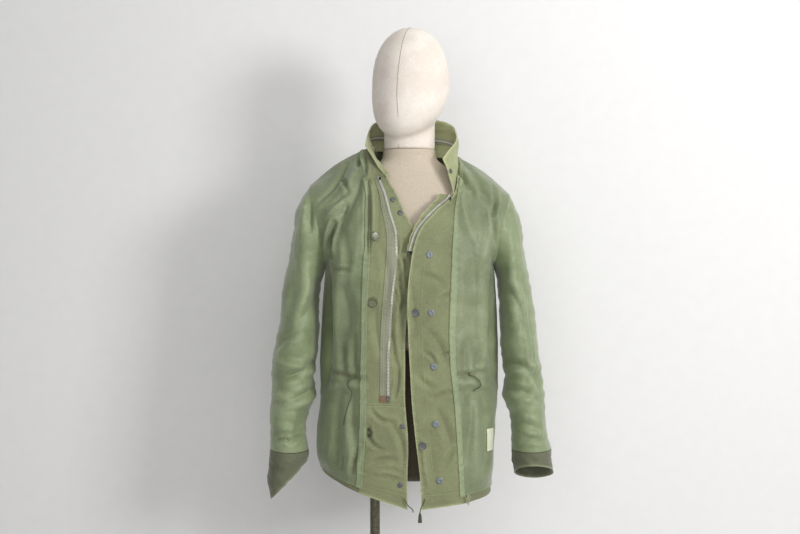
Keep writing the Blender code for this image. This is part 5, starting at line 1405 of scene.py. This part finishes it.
rings = np.array([np.stack([half * np.sign(c) * np.abs(c) ** (2 / TORSO_POWER),
                            np.where(s > 0, back, front) * np.sign(s) * np.abs(s) ** (2 / TORSO_POWER),
                            np.full(SIDES, z)], -1) for z, half, front, back in TORSO_RINGS])
rings = smooth(rings, np.linspace(0, len(rings) - 1, 110))
points = [tuple(p) for p in rings.reshape(-1, 3)]
faces = [(r * SIDES + k, r * SIDES + (k + 1) % SIDES, (r + 1) * SIDES + (k + 1) % SIDES, (r + 1) * SIDES + k)
         for r in range(len(rings) - 1) for k in range(SIDES)]
faces += [tuple(reversed(range(SIDES))), tuple(range(len(points) - SIDES, len(points)))]
mesh = bpy.data.meshes.new("form_torso_cloth")
mesh.from_pydata(points, [], faces)
mesh.uv_layers.new(name="cloth")
mesh.shade_smooth()
mesh.set_sharp_from_angle(angle=math.radians(50))

shaded_form_cotton, tree, shader = new_material("bound_form_cotton")
height = add_node(tree, "ShaderNodeSeparateXYZ",
                  Vector=add_node(tree, "ShaderNodeTexCoord").outputs["Object"]).outputs["Z"]
where = add_node(tree, "ShaderNodeMapRange", Value=height, From_Min=SHADE_BAND_EDGE[0], From_Max=SHADE_BAND_EDGE[1])
speckle = add_node(tree, "ShaderNodeTexNoise", Scale=300.0, Detail=3.0,
                   Vector=add_node(tree, "ShaderNodeTexCoord").outputs["Object"])
# The cream is darker than the head's cotton: painted shade inside the jacket.
shaded_cream = ramp(tree, speckle.outputs["Fac"], ((0.3, "#bbae9b"), (0.7, "#c6baa8")))
# The brown band is painted shade on the form's lower part.
painted_shade_brown = ramp(tree, speckle.outputs["Fac"], ((0.3, "#433c2c"), (0.7, "#524a37")))
mixed = add_node(tree, "ShaderNodeMix", {"data_type": "RGBA"}, i0=where.outputs["Result"], i6=painted_shade_brown, i7=shaded_cream)
tree.links.new(mixed.outputs[2], shader.inputs["Base Color"])
shader.inputs["Roughness"].default_value = 0.85
mesh.materials.append(shaded_form_cotton)
torso = bpy.data.objects.new("form_torso_cloth", mesh)
bpy.context.collection.objects.link(torso)
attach(torso, BODY)
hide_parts("form_torso")

# %% [markdown]
# ## Studio
# A pale wall close behind takes a soft shadow. The main light stands in front to the right, a
# larger and weaker one fills from the front, and a third from above brightens the wall.

# %% Floor, wall and lights
WALL_Y = 0.36
for name, place, turned, size in (("floor", (0, 0, -0.0006), (0, 0, 0), 9),
                                  ("backdrop", (0, WALL_Y, 2), (90, 0, 0), 9)):
    deselect()
    bpy.ops.mesh.primitive_plane_add(size=size, location=place, rotation=[math.radians(a) for a in turned])
    plane = bpy.context.object
    plane.name = name
    paint, tree, shader = new_material(f"matt_{name}_paint")
    speckle = add_node(tree, "ShaderNodeTexNoise", Scale=30.0,
                       Vector=add_node(tree, "ShaderNodeTexCoord").outputs["Object"])
    tree.links.new(ramp(tree, speckle.outputs["Fac"], ((0.3, "#e6e5e4"), (0.7, "#e8e7e6"))),
                   shader.inputs["Base Color"])
    shader.inputs["Roughness"].default_value = 0.95
    plane.data.materials.append(paint)

LIGHTS = (("key", (1.95, -2.15, 1.72), (0, 0, 1.3), 0.75, 42),    # name, place, aim, metres, watts
          ("fill", (-0.3, -2.9, 1.8), (0, 0, 1.2), 1.6, 20),
          ("wash", (0.9, -1.2, 3.0), (0.2, 0.36, 1.4), 1.6, 18))
for name, place, aim, size, power in LIGHTS:
    data = bpy.data.lights.new(name, "AREA")
    data.size = size
    data.energy = power
    lamp = bpy.data.objects.new(name, data)
    lamp.location = place
    lamp.rotation_euler = (Vector(aim) - Vector(place)).to_track_quat("-Z", "Y").to_euler()
    bpy.context.collection.objects.link(lamp)
world = bpy.data.worlds.new("studio")
bpy.context.scene.world = world
world.use_nodes = True
world.node_tree.nodes["Background"].inputs["Color"].default_value = hex_colour("#f2f3f5")
world.node_tree.nodes["Background"].inputs["Strength"].default_value = 0.35
print("lights", len(LIGHTS))
